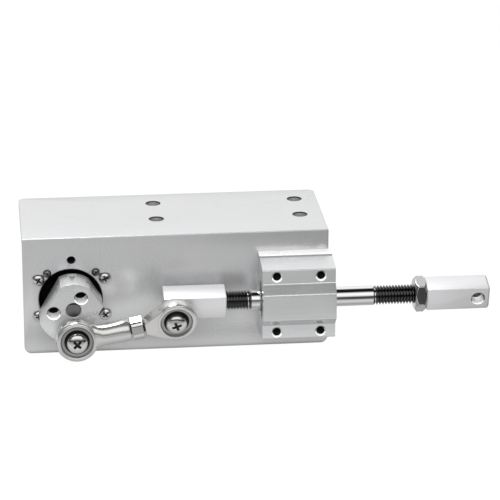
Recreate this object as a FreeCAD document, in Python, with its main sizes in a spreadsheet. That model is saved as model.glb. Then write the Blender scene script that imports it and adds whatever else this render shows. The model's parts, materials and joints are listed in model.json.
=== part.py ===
import FreeCAD, Part
import Sketcher
import math
import os

# Crank-and-slider actuator on an angle bracket.
# Origin: centre of the four flange holes on the flange's top face. +X points along the rod, outwards,
# +Y away from the plate's front, +Z up. Lengths in millimetres, angles in degrees.
SIZES = {
    # Angle bracket
    "bracket_length": 125.8,
    "bracket_depth": 52,
    "bracket_height": 50,
    "bracket_wall": 4,
    "bracket_left": 86.3,
    "bracket_front": 30,
    "plate_corner": 3,
    "flange_corner": 2.5,
    "bracket_edge": 0.35,
    "flange_pitch_long": 60,
    "flange_pitch_short": 20,
    "flange_hole": 2.75,
    "hole_break": 0.45,
    # Common height of the motor shaft and the guide rod below the flange
    "axis_drop": 25.5,
    "shaft_left": 66.4,
    # Motor opening and its screws
    "opening_radius": 13.1,
    "opening_left": 0.5,
    "opening_drop": 1.2,
    "motor_circle": 15.75,
    "motor_screw": 1.5,
    "motor_screw_hole": 1.6,
    "motor_head": 2.65,
    "motor_head_height": 2,
    "gearbox_circle": 14.4,
    "gearbox_screw": 1,
    "gearbox_head": 1.75,
    "gearbox_head_height": 1.5,
    "screw_slack": 0.05,
    # Bearing block on the plate
    "block_right": 25.2,
    "block_length": 30,
    "block_base": 17,
    "block_height": 22,
    "block_wing": 14.85,
    "block_wing_inner": 9,
    "block_wing_height": 18,
    "block_ridge": 5.4,
    "block_side": 5.8,
    "block_groove": 0.8,
    "block_hole_long": 9,
    "block_hole_wide": 12,
    "block_hole": 2.05,
    "block_screw": 2,
    "block_screw_reach": 14,
    "block_screw_head": 3.5,
    "rod_front": 11,
    # Linear bearing
    "bearing_radius": 7.5,
    "bearing_length": 24,
    "bearing_bore": 5.3,
    "bearing_recess": 6.5,
    "bearing_recess_depth": 1.6,
    "bearing_slot": 0.35,
    "bearing_slot_wide": 1.1,
    "bearing_slot_at": 8.2,
    "cage_radius": 4.3,
    "ring_wide": 1,
    "ring_depth": 0.4,
    "ring_thick": 1.2,
    "running_gap": 0.05,
    # Guide rod
    "rod_radius": 4,
    "rod_thread": 3.9,
    "rod_left_end": -18,
    "rod_plain_from": 5.6,
    "rod_plain_to": 57,
    "rod_right_end": 93,
    # Square blocks on the rod, rolled a little about it
    "bar_half": 5,
    "bar_break": 0.35,
    "slider_roll": 14,
    "drive_block_from": -29.8,
    "drive_block_to": -4.2,
    "small_end_x": -25.4,
    "end_block_from": 78.4,
    "end_block_to": 104.3,
    "end_hole_x": 99.5,
    "end_hole": 2.6,
    "lock_nut_flat": 6.5,
    "lock_nut_from": 73.4,
    "lock_nut_roll": -12,
    # Crank
    "crank_back": 2.8,
    "crank_front": 16,
    "crank_top": 11.2,
    "crank_lobe": 14.6,
    "crank_left_flat": 9.5,
    "crank_left_angle": 150,
    "crank_right_flat": 10.6,
    "crank_right_angle": 33.5,
    "crank_low_flat": 9.9,
    "crank_low_angle": -29,
    "crank_break": 0.3,
    "stroke_hole": 2.5,
    "short_throw": 6,
    "short_angle": 58.7,
    "middle_throw": 8.1,
    "middle_angle": -173.3,
    "long_throw": 10.5,
    "long_angle": -85.4,
    "set_screw": 1.5,
    "set_screw_front": 6.5,
    "set_screw_length": 5,
    # Output shaft
    "shaft_radius": 3,
    "shaft_flat": 2.5,
    "shaft_flat_length": 15,
    "shaft_inside": 9.5,
    # Connecting rod of two rod ends
    "conrod_front": 22.5,
    "ball_radius": 5.5,
    "ball_half": 3.25,
    "pin_radius": 2.5,
    "pin_head": 4.25,
    "pin_head_height": 2.3,
    "race_radius": 6.2,
    "race_half": 2,
    "head_radius": 8.3,
    "head_face": 7.3,
    "head_bevel": 6.9,
    "head_half": 3.1,
    "standoff_radius": 4,
    "open_gap": 0.3,
    "barrel_end": 21.9,
    "barrel_radius": 4.2,
    "barrel_shoulder": 16.5,
    "barrel_waist": 3.4,
    "barrel_waist_at": 10,
    "barrel_bore_from": 11.5,
    "taper_end": 12.6,
    "taper_end_half": 3.2,
    "taper_root": 3.6,
    "taper_root_half": 7.4,
    "taper_thick_half": 2.8,
    "stud_radius": 2.45,
    "stud_end": 27,
    "jam_nut_from": 22.6,
    "jam_nut_thick": 4.6,
    "jam_nut_flat": 4,
    # Gear motor behind the plate
    "gearbox_radius": 18.5,
    "gearbox_plate": 4,
    "gearbox_inner": 16.5,
    "gearbox_length": 18,
    "gearbox_back": 2.5,
    "gearbox_back_hole": 4,
    "bush_radius": 5,
    "bush_flange": 6.5,
    "bush_flange_thick": 1.5,
    "can_radius": 17.5,
    "can_wall": 1.2,
    "can_length": 30,
    "can_hole": 4,
    "cap_thick": 4,
    "cap_boss": 5.5,
    "cap_boss_length": 3,
    "terminal_half": 11,
    "terminal_wide": 2.8,
    "terminal_thick": 0.5,
    "terminal_length": 6,
    "terminal_root": 9,
    # Planetary reduction: sun on the motor shaft, three planets on the output carrier, fixed ring
    "gear_module": 0.7,
    "sun_teeth": 12,
    "planet_teeth": 15,
    "ring_teeth": 42,
    "tooth_share": 0.37,
    "tooth_addendum": 0.8,
    "tooth_dedendum": 1.25,
    "tooth_slope": 15,
    "gear_from": 10.2,
    "gear_width": 7,
    "sun_overhang": 1,
    "carrier_from": 5.5,
    "carrier_thick": 4,
    "carrier_radius": 12.6,
    "planet_pin": 1.5,
    # Rotor and field of the motor
    "rotor_shaft": 1.5,
    "rotor_bush": 4,
    "rotor_tail": 3,
    "core_radius": 12.6,
    "core_from": 4.5,
    "core_length": 12,
    "core_slots": 5,
    "core_slot_wide": 4,
    "core_hub": 5,
    "coil_reach": 11.4,
    "coil_overhang": 2,
    "coil_gap": 0.1,
    "commutator_radius": 4,
    "commutator_length": 5,
    "magnet_inner": 13.1,
    "magnet_sweep": 140,
    "brush_wide": 1.6,
    "brush_length": 3.4,
}

# Places used by several pieces, as expressions of the sizes
PLATE_FRONT = "-Size.bracket_front"
PLATE_BACK = "(Size.bracket_wall - Size.bracket_front)"
SHAFT_X = "-Size.shaft_left"
AXIS_Z = "-Size.axis_drop"
ROD_Y = "(-Size.bracket_front - Size.rod_front)"
CONROD_Y = "(-Size.bracket_front - Size.conrod_front)"
PIN_REACH = "((Size.conrod_front - Size.rod_front) / cos(Size.slider_roll))"
SMALL_END_Z = "(-Size.axis_drop - (Size.conrod_front - Size.rod_front) * tan(Size.slider_roll))"
BIG_END_X = "(-Size.shaft_left + Size.long_throw * cos(Size.long_angle))"
BIG_END_Z = "(-Size.axis_drop + Size.long_throw * sin(Size.long_angle))"
BALL_FACE = "sqrt(Size.ball_radius ^ 2 - Size.ball_half ^ 2)"
GEARBOX_BACK_AT = "(Size.gearbox_plate + Size.gearbox_length)"
CAN_AT = "(Size.gearbox_plate + Size.gearbox_length + Size.gearbox_back)"
CAN_END = "(%s + Size.can_length)" % CAN_AT
CAP_AT = "(%s - Size.cap_thick)" % CAN_END
CORE_AT = "(%s + Size.core_from)" % CAN_AT
COMMUTATOR_AT = "(%s - Size.coil_gap - Size.commutator_length)" % CAP_AT
PLANET_CIRCLE = "(Size.gear_module * (Size.sun_teeth + Size.planet_teeth) / 2)"
PLANET_ANGLES = (90, 210, 330)
MOTOR_SCREW_ANGLES = (30, 150, 210, 330)
SPARE_SCREW_ANGLE = 90
GEARBOX_SCREW_ANGLES = (46.5, 133.5)
FRONT_AXIS = FreeCAD.Vector(0, -1, 0)
ROD_AXIS = FreeCAD.Vector(1, 0, 0)

doc = FreeCAD.newDocument("crank_slider_actuator")
sheet = doc.addObject("Spreadsheet::Sheet", "Size")
for row, (name, size) in enumerate(SIZES.items(), start=1):
    sheet.set("A%d" % row, name)
    sheet.set("B%d" % row, str(size))
    sheet.setAlias("B%d" % row, name)
doc.recompute()
pieces = []


def number(expression):
    """The value of an expression of the sizes."""
    result = sheet.evalExpression(expression)
    return float(getattr(result, "Value", result))


def keep(piece):
    """Counts a finished piece as a sub-part."""
    pieces.append(piece)
    return piece


def new_body(label, x="0", y="0", z="0", turn=None):
    """A body whose own origin stands at x, y, z, turned by a rotation."""
    body = doc.addObject("PartDesign::Body", label)
    if turn is not None:
        body.Placement = FreeCAD.Placement(FreeCAD.Vector(), turn)
    for axis, place in (("x", x), ("y", y), ("z", z)):
        body.setExpression("Placement.Base." + axis, place)
    return body


def new_sketch(body, plane, name, offset=None):
    """A sketch on one of the body's own planes, moved along its normal by an offset."""
    sketch = body.newObject("Sketcher::SketchObject", name)
    for feature in body.Origin.OriginFeatures:
        if feature.Role == plane:
            sketch.AttachmentSupport = (feature, [""])
    sketch.MapMode = "FlatFace"
    if offset is not None:
        sketch.setExpression("AttachmentOffset.Base.z", offset)
    return sketch


def fix_point(sketch, edge, spot, x, y):
    """Holds a point of a sketch at x, y from the sketch's origin."""
    for kind, axis, place in (("DistanceX", -2, x), ("DistanceY", -1, y)):
        if place == "0":
            sketch.addConstraint(Sketcher.Constraint("PointOnObject", edge, spot, axis))
        else:
            row = sketch.addConstraint(Sketcher.Constraint(kind, -1, 1, edge, spot, number(place)))
            sketch.setExpression("Constraints[%d]" % row, place)


def arc_between(start, end, radius):
    """Arc from start to end; a positive radius bulges to the right of the way from start to end."""
    chord = end - start
    left = FreeCAD.Vector(-chord.y, chord.x, 0)
    rise = math.sqrt(max(radius * radius - chord.Length ** 2 / 4, 0))
    centre = (start + end) * 0.5 + left * (math.copysign(rise, radius) / chord.Length)
    first, last = (start, end) if radius > 0 else (end, start)
    angles = [math.atan2(spot.y - centre.y, spot.x - centre.x) for spot in (first, last)]
    if angles[1] < angles[0]:
        angles[1] += 2 * math.pi
    circle = Part.Circle(centre, FreeCAD.Vector(0, 0, 1), abs(radius))
    return Part.ArcOfCircle(circle, angles[0], angles[1])


def add_outline(sketch, corners):
    """Closed outline through corners (x, y); a third entry makes the side that follows an arc."""
    spots = [FreeCAD.Vector(number(corner[0]), number(corner[1]), 0) for corner in corners]
    sides = []
    for i, corner in enumerate(corners):
        start, end = spots[i], spots[(i + 1) % len(spots)]
        if len(corner) == 3:
            radius = number(corner[2])
            edge = sketch.addGeometry(arc_between(start, end, radius), False)
            sides.append((edge, 1, 2) if radius > 0 else (edge, 2, 1))
        else:
            edge = sketch.addGeometry(Part.LineSegment(start, end), False)
            sides.append((edge, 1, 2))
    for i, (edge, first, last) in enumerate(sides):
        following = sides[(i + 1) % len(sides)]
        sketch.addConstraint(Sketcher.Constraint("Coincident", edge, last, following[0], following[1]))
    for (edge, first, last), corner in zip(sides, corners):
        fix_point(sketch, edge, first, corner[0], corner[1])
        if len(corner) == 3:
            row = sketch.addConstraint(Sketcher.Constraint("Radius", edge, abs(number(corner[2]))))
            sketch.setExpression("Constraints[%d]" % row, "abs(%s)" % corner[2])


def add_circle(sketch, x, y, radius):
    """A circle of a sketch."""
    spot = FreeCAD.Vector(number(x), number(y), 0)
    edge = sketch.addGeometry(Part.Circle(spot, FreeCAD.Vector(0, 0, 1), number(radius)), False)
    fix_point(sketch, edge, 3, x, y)
    row = sketch.addConstraint(Sketcher.Constraint("Radius", edge, number(radius)))
    sketch.setExpression("Constraints[%d]" % row, radius)


def add_feature(body, kind, name, sketch, **settings):
    """A sketch-based feature; text settings are expressions of the sizes."""
    feature = body.newObject("PartDesign::" + kind, name)
    feature.Profile = sketch
    for setting, given in settings.items():
        if isinstance(given, str) and setting in ("Length", "Angle"):
            feature.setExpression(setting, given)
        else:
            setattr(feature, setting, given)
    return feature


def cut(body, name, sketch, **settings):
    """A pocket or groove that is checked to take something away."""
    doc.recompute()
    before = body.Shape.Volume
    kind = "Groove" if "ReferenceAxis" in settings else "Pocket"
    feature = add_feature(body, kind, name, sketch, **settings)
    doc.recompute()
    if body.Shape.Volume >= before:
        raise ValueError("%s cuts nothing" % name)
    return feature


def dress_edges(body, kind, name, size, wanted):
    """A fillet or chamfer on the edges of the body for which wanted(edge) holds."""
    doc.recompute()
    base = body.Tip
    chosen = []
    for i, edge in enumerate(base.Shape.Edges, start=1):
        if wanted(edge):
            chosen.append("Edge%d" % i)
    feature = body.newObject("PartDesign::" + kind, name)
    feature.Base = (base, chosen)
    feature.setExpression("Radius" if kind == "Fillet" else "Size", size)
    doc.recompute()


def is_circle(edge, radius):
    """Whether an edge is a full circle of a radius."""
    return hasattr(edge.Curve, "Radius") and edge.isClosed() and abs(edge.Curve.Radius - radius) < 1e-4


def turned_body(label, profile, axis, x="0", y="0", z="0", turn=None, angle=360):
    """A turned piece: a half profile spun about its body's own X or Y axis."""
    body = new_body(label, x, y, z, turn)
    sketch = new_sketch(body, "XY_Plane", label + "_profile")
    add_outline(sketch, profile)
    side = "H_Axis" if axis == "X" else "V_Axis"
    add_feature(body, "Revolution", label + "_turn", sketch, ReferenceAxis=(sketch, [side]), Angle=angle)
    return body


def round_about(radius, angle):
    """X and Y expressions of a point on a circle round the sketch's origin."""
    return ["%s * %s(%s)" % (radius, part, angle) for part in ("cos", "sin")]


def group(label, members):
    """One sub-part of several separate solids."""
    compound = doc.addObject("Part::Compound", label)
    compound.Links = members
    return keep(compound)


def make_bracket():
    """Angle with rounded free corners, flange holes, and the holes that carry motor and bearing."""
    body = new_body("angle_bracket")
    front = PLATE_FRONT
    back = PLATE_BACK
    rear = "(Size.bracket_depth - Size.bracket_front)"
    section = new_sketch(body, "YZ_Plane", "bracket_section", "-Size.bracket_left")
    add_outline(section, [
        (front, "-Size.bracket_height"),
        (back, "-Size.bracket_height"),
        (back, "-Size.bracket_wall"),
        (rear, "-Size.bracket_wall"),
        (rear, "0"),
        (front, "0"),
    ])
    add_feature(body, "Pad", "bracket_angle", section, Length="Size.bracket_length")
    low = -number("Size.bracket_height")
    far = number(rear)

    def at_plate_foot(edge):
        return abs(edge.CenterOfMass.z - low) < 1e-4 and edge.Length < number("Size.bracket_wall") + 1e-4

    def at_flange_back(edge):
        return abs(edge.CenterOfMass.y - far) < 1e-4 and edge.Length < number("Size.bracket_wall") + 1e-4

    def at_bend(edge):
        middle = edge.CenterOfMass
        return abs(middle.z) < 1e-4 and abs(middle.y - number(front)) < 1e-4

    dress_edges(body, "Fillet", "plate_corners", "Size.plate_corner", at_plate_foot)
    dress_edges(body, "Fillet", "flange_corners", "Size.flange_corner", at_flange_back)
    dress_edges(body, "Chamfer", "bend_edge", "Size.bracket_edge", at_bend)
    flange_holes = new_sketch(body, "XY_Plane", "flange_holes")
    for side in ("", "-"):
        for end in ("", "-"):
            add_circle(flange_holes, side + "Size.flange_pitch_long / 2", end + "Size.flange_pitch_short / 2",
                       "Size.flange_hole")
    cut(body, "flange_drilling", flange_holes, Type="ThroughAll")
    opening = new_sketch(body, "XZ_Plane", "motor_opening", "Size.bracket_front")
    add_circle(opening, SHAFT_X + " - Size.opening_left", AXIS_Z + " - Size.opening_drop",
               "Size.opening_radius")
    cut(body, "opening_bore", opening, Type="Length", Length="Size.bracket_wall")
    holes = new_sketch(body, "XZ_Plane", "plate_holes", "Size.bracket_front")
    for angle in MOTOR_SCREW_ANGLES + (SPARE_SCREW_ANGLE,):
        x, z = round_about("Size.motor_circle", angle)
        add_circle(holes, "%s + %s" % (SHAFT_X, x), "%s + %s" % (AXIS_Z, z), "Size.motor_screw_hole")
    for angle in GEARBOX_SCREW_ANGLES:
        x, z = round_about("Size.gearbox_circle", angle)
        add_circle(holes, "%s + %s" % (SHAFT_X, x), "%s + %s" % (AXIS_Z, z),
                   "Size.gearbox_screw + Size.screw_slack")
    for side in ("+", "-"):
        for end in ("+", "-"):
            add_circle(holes, "Size.block_right %s Size.block_hole_long" % side,
                       "%s %s Size.block_hole_wide" % (AXIS_Z, end), "Size.block_hole")
    cut(body, "plate_drilling", holes, Type="Length", Length="Size.bracket_wall")

    def at_hole_mouth(edge):
        return is_circle(edge, number("Size.flange_hole")) and abs(edge.CenterOfMass.z) < 1e-4

    dress_edges(body, "Chamfer", "hole_mouths", "Size.hole_break", at_hole_mouth)
    return keep(body)


def pan_screw(label, head, height, shank, reach, x, y, z, turn=None):
    """Pan-head screw along its own Y axis, head towards -Y, seated at y = 0."""
    return turned_body(label, [
        ("0", "-" + height),
        ("%s * 0.55" % head, "-" + height),
        (head, "-%s * 0.45" % height),
        (head, "0"),
        (shank, "0"),
        (shank, reach),
        ("0", reach),
    ], "Y", x, y, z, turn)


def make_plate_screws():
    """Motor screws and the two small gearbox screws, all with their heads on the plate's front."""
    reach = "(Size.bracket_wall + Size.gearbox_plate)"
    for label, angles, circle, head, height, shank in (
            ("motor_screws", MOTOR_SCREW_ANGLES, "Size.motor_circle", "Size.motor_head",
             "Size.motor_head_height", "Size.motor_screw"),
            ("gearbox_screws", GEARBOX_SCREW_ANGLES, "Size.gearbox_circle", "Size.gearbox_head",
             "Size.gearbox_head_height", "Size.gearbox_screw")):
        members = []
        for angle in angles:
            x, z = round_about(circle, angle)
            members.append(pan_screw("%s_%d" % (label, len(members)), head, height, shank, reach,
                                     "%s + %s" % (SHAFT_X, x), PLATE_FRONT, "%s + %s" % (AXIS_Z, z)))
        group(label, members)


def make_block_screws():
    """Four cap screws from behind the plate into the bearing block."""
    members = []
    for i, (side, end) in enumerate((("+", "+"), ("+", "-"), ("-", "+"), ("-", "-"))):
        members.append(turned_body("block_screw_%d" % i, [
            ("0", "-Size.block_screw_reach"),
            ("Size.block_screw", "-Size.block_screw_reach"),
            ("Size.block_screw", "0"),
            ("Size.block_screw_head", "0"),
            ("Size.block_screw_head", "2 * Size.block_screw - Size.hole_break"),
            ("Size.block_screw_head - Size.hole_break", "2 * Size.block_screw"),
            ("0", "2 * Size.block_screw"),
        ], "Y", "Size.block_right %s Size.block_hole_long" % side, PLATE_BACK,
            "%s %s Size.block_hole_wide" % (AXIS_Z, end)))
    group("block_screws", members)


def make_bearing_block():
    """Extruded block: tapered wings, grooved sides, central ridge, bearing bore and tapped holes."""
    body = new_body("bearing_block", "Size.block_right - Size.block_length / 2", ROD_Y, AXIS_Z)
    section = new_sketch(body, "YZ_Plane", "block_section")
    side = "(Size.rod_front - Size.block_side)"
    face = "(Size.rod_front - Size.block_wing_height)"
    slope = "(Size.block_base - Size.block_wing) / (Size.block_wing_height - Size.block_side)"
    upper = [
        ("Size.rod_front", "Size.block_base"),
        (side, "Size.block_base"),
        (side + " - Size.block_groove / 2", "(Size.block_base - Size.block_groove)"),
        (side + " - Size.block_groove * 3 / 2", "(Size.block_base - Size.block_groove)"),
        (side + " - 2 * Size.block_groove", "(Size.block_base - 2 * Size.block_groove * %s)" % slope),
        (face, "Size.block_wing"),
        (face, "Size.block_wing_inner"),
        ("Size.rod_front - Size.block_height", "Size.block_ridge"),
    ]
    lower = [(y, "-" + z) for y, z in reversed(upper)]
    add_outline(section, upper + lower)
    add_feature(body, "Pad", "block_extrusion", section, Length="Size.block_length")
    bore = new_sketch(body, "YZ_Plane", "bearing_bore")
    add_circle(bore, "0", "0", "Size.bearing_radius + Size.screw_slack")
    cut(body, "bearing_boring", bore, Type="Length", Length="Size.block_length", Reversed=True)
    holes = new_sketch(body, "XZ_Plane", "block_holes", "Size.block_wing_height - Size.rod_front")
    for side in ("+", "-"):
        for end in ("", "-"):
            add_circle(holes, "Size.block_length / 2 %s Size.block_hole_long" % side,
                       end + "Size.block_hole_wide", "Size.block_hole")
    cut(body, "block_tapping", holes, Type="ThroughAll")
    seats = new_sketch(body, "XY_Plane", "ring_seats")
    inner = "Size.bearing_radius - Size.ring_depth"
    outer = "Size.bearing_radius + Size.ring_depth"
    start = "(Size.block_length - Size.bearing_length) / 2"
    for near, far in ((start + " - Size.ring_wide", start),
                      ("Size.block_length - " + start, "Size.block_length - %s + Size.ring_wide" % start)):
        add_outline(seats, [(near, inner), (far, inner), (far, outer), (near, outer)])
    cut(body, "ring_grooving", seats, ReferenceAxis=(seats, ["H_Axis"]), Angle=360)

    def at_hole_mouth(edge):
        middle = edge.CenterOfMass
        return is_circle(edge, number("Size.block_hole")) and middle.y < 0

    dress_edges(body, "Chamfer", "tapped_mouths", "Size.bracket_edge", at_hole_mouth)
    return keep(body)


def make_bearing():
    """Linear ball bearing: slotted steel sleeve, resin cage, two seals, two open rings that hold it."""
    place = ("Size.block_right", ROD_Y, AXIS_Z)
    half = "Size.bearing_length / 2"
    slot_from = "Size.bearing_slot_at"
    slot_to = "(Size.bearing_slot_at + Size.bearing_slot_wide)"
    recess = "(%s - Size.bearing_recess_depth)" % half
    floor = "Size.bearing_radius - Size.bearing_slot"
    right_outside = [(half, "Size.bearing_radius"), (slot_to, "Size.bearing_radius"), (slot_to, floor),
                     (slot_from, floor), (slot_from, "Size.bearing_radius")]
    right_inside = [(recess, "Size.bearing_bore"), (recess, "Size.bearing_recess"),
                    (half, "Size.bearing_recess")]
    left_outside = [("-" + x, r) for x, r in reversed(right_outside)]
    left_inside = [("-" + x, r) for x, r in reversed(right_inside)]
    profile = left_inside + right_inside + right_outside + left_outside
    keep(turned_body("bearing_sleeve", profile, "X", *place))
    cage_half = "(%s - Size.screw_slack)" % recess
    keep(turned_body("bearing_cage", [
        ("-" + cage_half, "Size.cage_radius"),
        (cage_half, "Size.cage_radius"),
        (cage_half, "Size.bearing_bore - Size.screw_slack"),
        ("-" + cage_half, "Size.bearing_bore - Size.screw_slack"),
    ], "X", *place))
    seals = []
    for i, side in enumerate(("", "-")):
        near, far = sorted((side + recess, side + half), key=number)
        seals.append(turned_body("bearing_seal_%d" % i, [
            (near, "Size.rod_radius + Size.running_gap"),
            (far, "Size.rod_radius + Size.running_gap"),
            (far, "Size.bearing_recess - Size.screw_slack"),
            (near, "Size.bearing_recess - Size.screw_slack"),
        ], "X", *place))
    group("bearing_seals", seals)
    rings = []
    for i, side in enumerate(("", "-")):
        ring_near, ring_far = sorted((side + half, side + "(%s + Size.ring_wide)" % half), key=number)
        outer = "Size.bearing_radius + Size.ring_depth - Size.screw_slack"
        inner = "Size.bearing_radius - Size.ring_thick + Size.ring_depth"
        rings.append(turned_body("retaining_ring_%d" % i, [
            (ring_near, inner), (ring_far, inner), (ring_far, outer), (ring_near, outer),
        ], "X", *place, angle=320))
    group("retaining_rings", rings)


def make_guide_rod():
    """Round rod: plain in the bearing, a little thinner where it is threaded at both ends."""
    step = "(Size.rod_radius - Size.rod_thread)"
    tip = "(Size.rod_thread - Size.hole_break)"
    keep(turned_body("guide_rod", [
        ("Size.rod_left_end", "0"),
        ("Size.rod_right_end", "0"),
        ("Size.rod_right_end", tip),
        ("Size.rod_right_end - Size.hole_break", "Size.rod_thread"),
        ("Size.rod_plain_to", "Size.rod_thread"),
        ("Size.rod_plain_to - " + step, "Size.rod_radius"),
        ("Size.rod_plain_from + " + step, "Size.rod_radius"),
        ("Size.rod_plain_from", "Size.rod_thread"),
        ("Size.rod_left_end + Size.hole_break", "Size.rod_thread"),
        ("Size.rod_left_end", tip),
    ], "X", "0", ROD_Y, AXIS_Z))


def roll_turn():
    """The slider's roll about the rod: tops turned towards the front."""
    return FreeCAD.Rotation(ROD_AXIS, number("Size.slider_roll"))


def square_block(label, start, end, socket_from, socket_to, cross_x, cross_radius):
    """Square bar on the rod with a blind rod socket and one hole across it."""
    body = new_body(label, "0", ROD_Y, AXIS_Z, roll_turn())
    section = new_sketch(body, "YZ_Plane", label + "_section", start)
    half = "Size.bar_half"
    add_outline(section, [("-" + half, "-" + half), (half, "-" + half), (half, half), ("-" + half, half)])
    add_feature(body, "Pad", label + "_bar", section, Length="%s - (%s)" % (end, start))
    dress_edges(body, "Chamfer", label + "_edges", "Size.bar_break", lambda edge: True)
    socket = new_sketch(body, "YZ_Plane", label + "_socket", socket_from)
    add_circle(socket, "0", "0", "Size.rod_thread + Size.screw_slack")
    cut(body, label + "_boring", socket, Type="Length", Length="%s - (%s)" % (socket_to, socket_from),
        Reversed=True)
    across = new_sketch(body, "XZ_Plane", label + "_across", half)
    add_circle(across, cross_x, "0", cross_radius)
    cut(body, label + "_cross_hole", across, Type="Length", Length="2 * " + half)
    return keep(body)


def make_slider_blocks():
    """Drive block on the rod's left end and end block on its right end."""
    square_block("drive_block", "Size.drive_block_from", "Size.drive_block_to",
                 "Size.rod_left_end", "Size.drive_block_to", "Size.small_end_x",
                 "Size.pin_radius + Size.screw_slack")
    square_block("end_block", "Size.end_block_from", "Size.end_block_to",
                 "Size.end_block_from", "Size.rod_right_end", "Size.end_hole_x", "Size.end_hole")


def hexagon(sketch, flat, turn):
    """Hexagon of half width across flats about the sketch's origin, with a corner at the angle turn."""
    corner = "(%s / cos(30))" % flat
    add_outline(sketch, [tuple(round_about(corner, turn + 60 * i)) for i in range(6)])


def hexagon_nut(label, start, thick, flat, bore, x, y, z, turn=None):
    """Hexagon nut along its own X axis with corners turned off at both faces."""
    body = new_body(label, x, y, z, turn)
    section = new_sketch(body, "YZ_Plane", label + "_section", start)
    hexagon(section, flat, 30)
    add_circle(section, "0", "0", bore)
    add_feature(body, "Pad", label + "_bar", section, Length=thick)
    corner = "(%s / cos(30) + Size.hole_break)" % flat
    depth = "(%s - %s * 0.95) * 0.577" % (corner, flat)
    bevel = new_sketch(body, "XY_Plane", label + "_bevel")
    end = "(%s + %s)" % (start, thick)
    inside = "%s * 0.95" % flat
    add_outline(bevel, [(start, inside), ("%s + %s" % (start, depth), corner), (start, corner)])
    add_outline(bevel, [(end, inside), (end, corner), ("%s - %s" % (end, depth), corner)])
    cut(body, label + "_bevels", bevel, ReferenceAxis=(bevel, ["H_Axis"]), Angle=360)
    return keep(body)


def make_crank():
    """Thick crank: round top about the shaft, three milled flats, round lobe and three stroke holes."""
    body = new_body("crank", SHAFT_X, PLATE_FRONT, AXIS_Z)

    def meeting(flat_a, angle_a, flat_b, angle_b):
        """Corner where two flats meet, from their distances and directions from the shaft."""
        spread = "sin(%s - %s)" % (angle_b, angle_a)
        x = "((%s * sin(%s) - %s * sin(%s)) / %s)" % (flat_a, angle_b, flat_b, angle_a, spread)
        y = "((%s * cos(%s) - %s * cos(%s)) / %s)" % (flat_b, angle_a, flat_a, angle_b, spread)
        return (x, y)

    def on_round(radius, flat, angle, side):
        """Corner where a flat meets a circle about the shaft, on the given side of the flat's foot."""
        direction = "(%s %s acos(%s / %s) / 1 deg)" % (angle, side, flat, radius)
        return tuple(round_about(radius, direction))

    left = ("Size.crank_left_flat", "Size.crank_left_angle")
    right = ("Size.crank_right_flat", "Size.crank_right_angle")
    low = ("Size.crank_low_flat", "Size.crank_low_angle")
    outline = new_sketch(body, "XZ_Plane", "crank_outline", "Size.crank_back")
    lobe_angle = "(Size.crank_low_angle - acos(Size.crank_low_flat / Size.crank_lobe) / 1 deg)"
    left_corner_angle = "(Size.crank_left_angle + acos(Size.crank_left_flat / Size.crank_lobe) / 1 deg - 360)"
    middle = tuple(round_about("Size.crank_lobe", "((%s + %s) / 2)" % (lobe_angle, left_corner_angle)))
    add_outline(outline, [
        on_round("Size.crank_top", *right, "+") + ("Size.crank_top",),
        on_round("Size.crank_top", *left, "-"),
        on_round("Size.crank_lobe", *left, "+") + ("Size.crank_lobe",),
        middle + ("Size.crank_lobe",),
        on_round("Size.crank_lobe", *low, "-"),
        meeting(*low, *right),
    ])
    add_feature(body, "Pad", "crank_plate", outline, Length="Size.crank_front - Size.crank_back")
    front = -number("Size.crank_front")
    dress_edges(body, "Chamfer", "crank_edges", "Size.crank_break",
                lambda edge: abs(edge.CenterOfMass.y - front) < 1e-4)
    holes = new_sketch(body, "XZ_Plane", "crank_holes", "Size.crank_front")
    add_circle(holes, "0", "0", "Size.shaft_radius + Size.screw_slack")
    for throw in ("short", "middle", "long"):
        x, z = round_about("Size.%s_throw" % throw, "Size.%s_angle" % throw)
        add_circle(holes, x, z, "Size.stroke_hole")
    cut(body, "crank_drilling", holes, Type="ThroughAll")
    screw_hole = new_sketch(body, "XY_Plane", "set_screw_hole", "Size.crank_lobe")
    add_circle(screw_hole, "0", "-Size.set_screw_front", "Size.set_screw")
    cut(body, "set_screw_drilling", screw_hole, Type="Length", Length="Size.crank_lobe")
    keep(body)
    screw = new_body("crank_set_screw", SHAFT_X, PLATE_FRONT, AXIS_Z)
    section = new_sketch(screw, "XY_Plane", "set_screw_section", "Size.shaft_flat + Size.screw_slack")
    add_circle(section, "0", "-Size.set_screw_front", "Size.set_screw - Size.screw_slack")
    add_feature(screw, "Pad", "set_screw_bar", section, Length="Size.set_screw_length")
    keep(screw)


def make_output_shaft():
    """Gear motor's output shaft with a flat under the set screw, flush with the crank's front."""
    body = turned_body("output_shaft", [
        ("0", "-Size.crank_front"),
        ("Size.shaft_radius - Size.bracket_edge", "-Size.crank_front"),
        ("Size.shaft_radius", "Size.bracket_edge - Size.crank_front"),
        ("Size.shaft_radius", "Size.bracket_wall + Size.shaft_inside"),
        ("0", "Size.bracket_wall + Size.shaft_inside"),
    ], "Y", SHAFT_X, PLATE_FRONT, AXIS_Z)
    flat = new_sketch(body, "XZ_Plane", "shaft_flat", "Size.crank_front")
    add_outline(flat, [
        ("-Size.shaft_radius", "Size.shaft_flat"),
        ("Size.shaft_radius", "Size.shaft_flat"),
        ("Size.shaft_radius", "Size.shaft_radius"),
        ("-Size.shaft_radius", "Size.shaft_radius"),
    ])
    cut(body, "shaft_milling", flat, Type="Length", Length="Size.shaft_flat_length")
    keep(body)


def conrod_tilt():
    """Slope of the connecting rod, from the crank pin up to the slider's pin."""
    rise = number(SMALL_END_Z) - number(BIG_END_Z)
    return math.degrees(math.atan2(rise, number("Size.small_end_x") - number(BIG_END_X)))


def conrod_length():
    """Distance between the two ball centres, as an expression."""
    return "sqrt((Size.small_end_x - %s) ^ 2 + (%s - %s) ^ 2)" % (BIG_END_X, SMALL_END_Z, BIG_END_Z)


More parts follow.
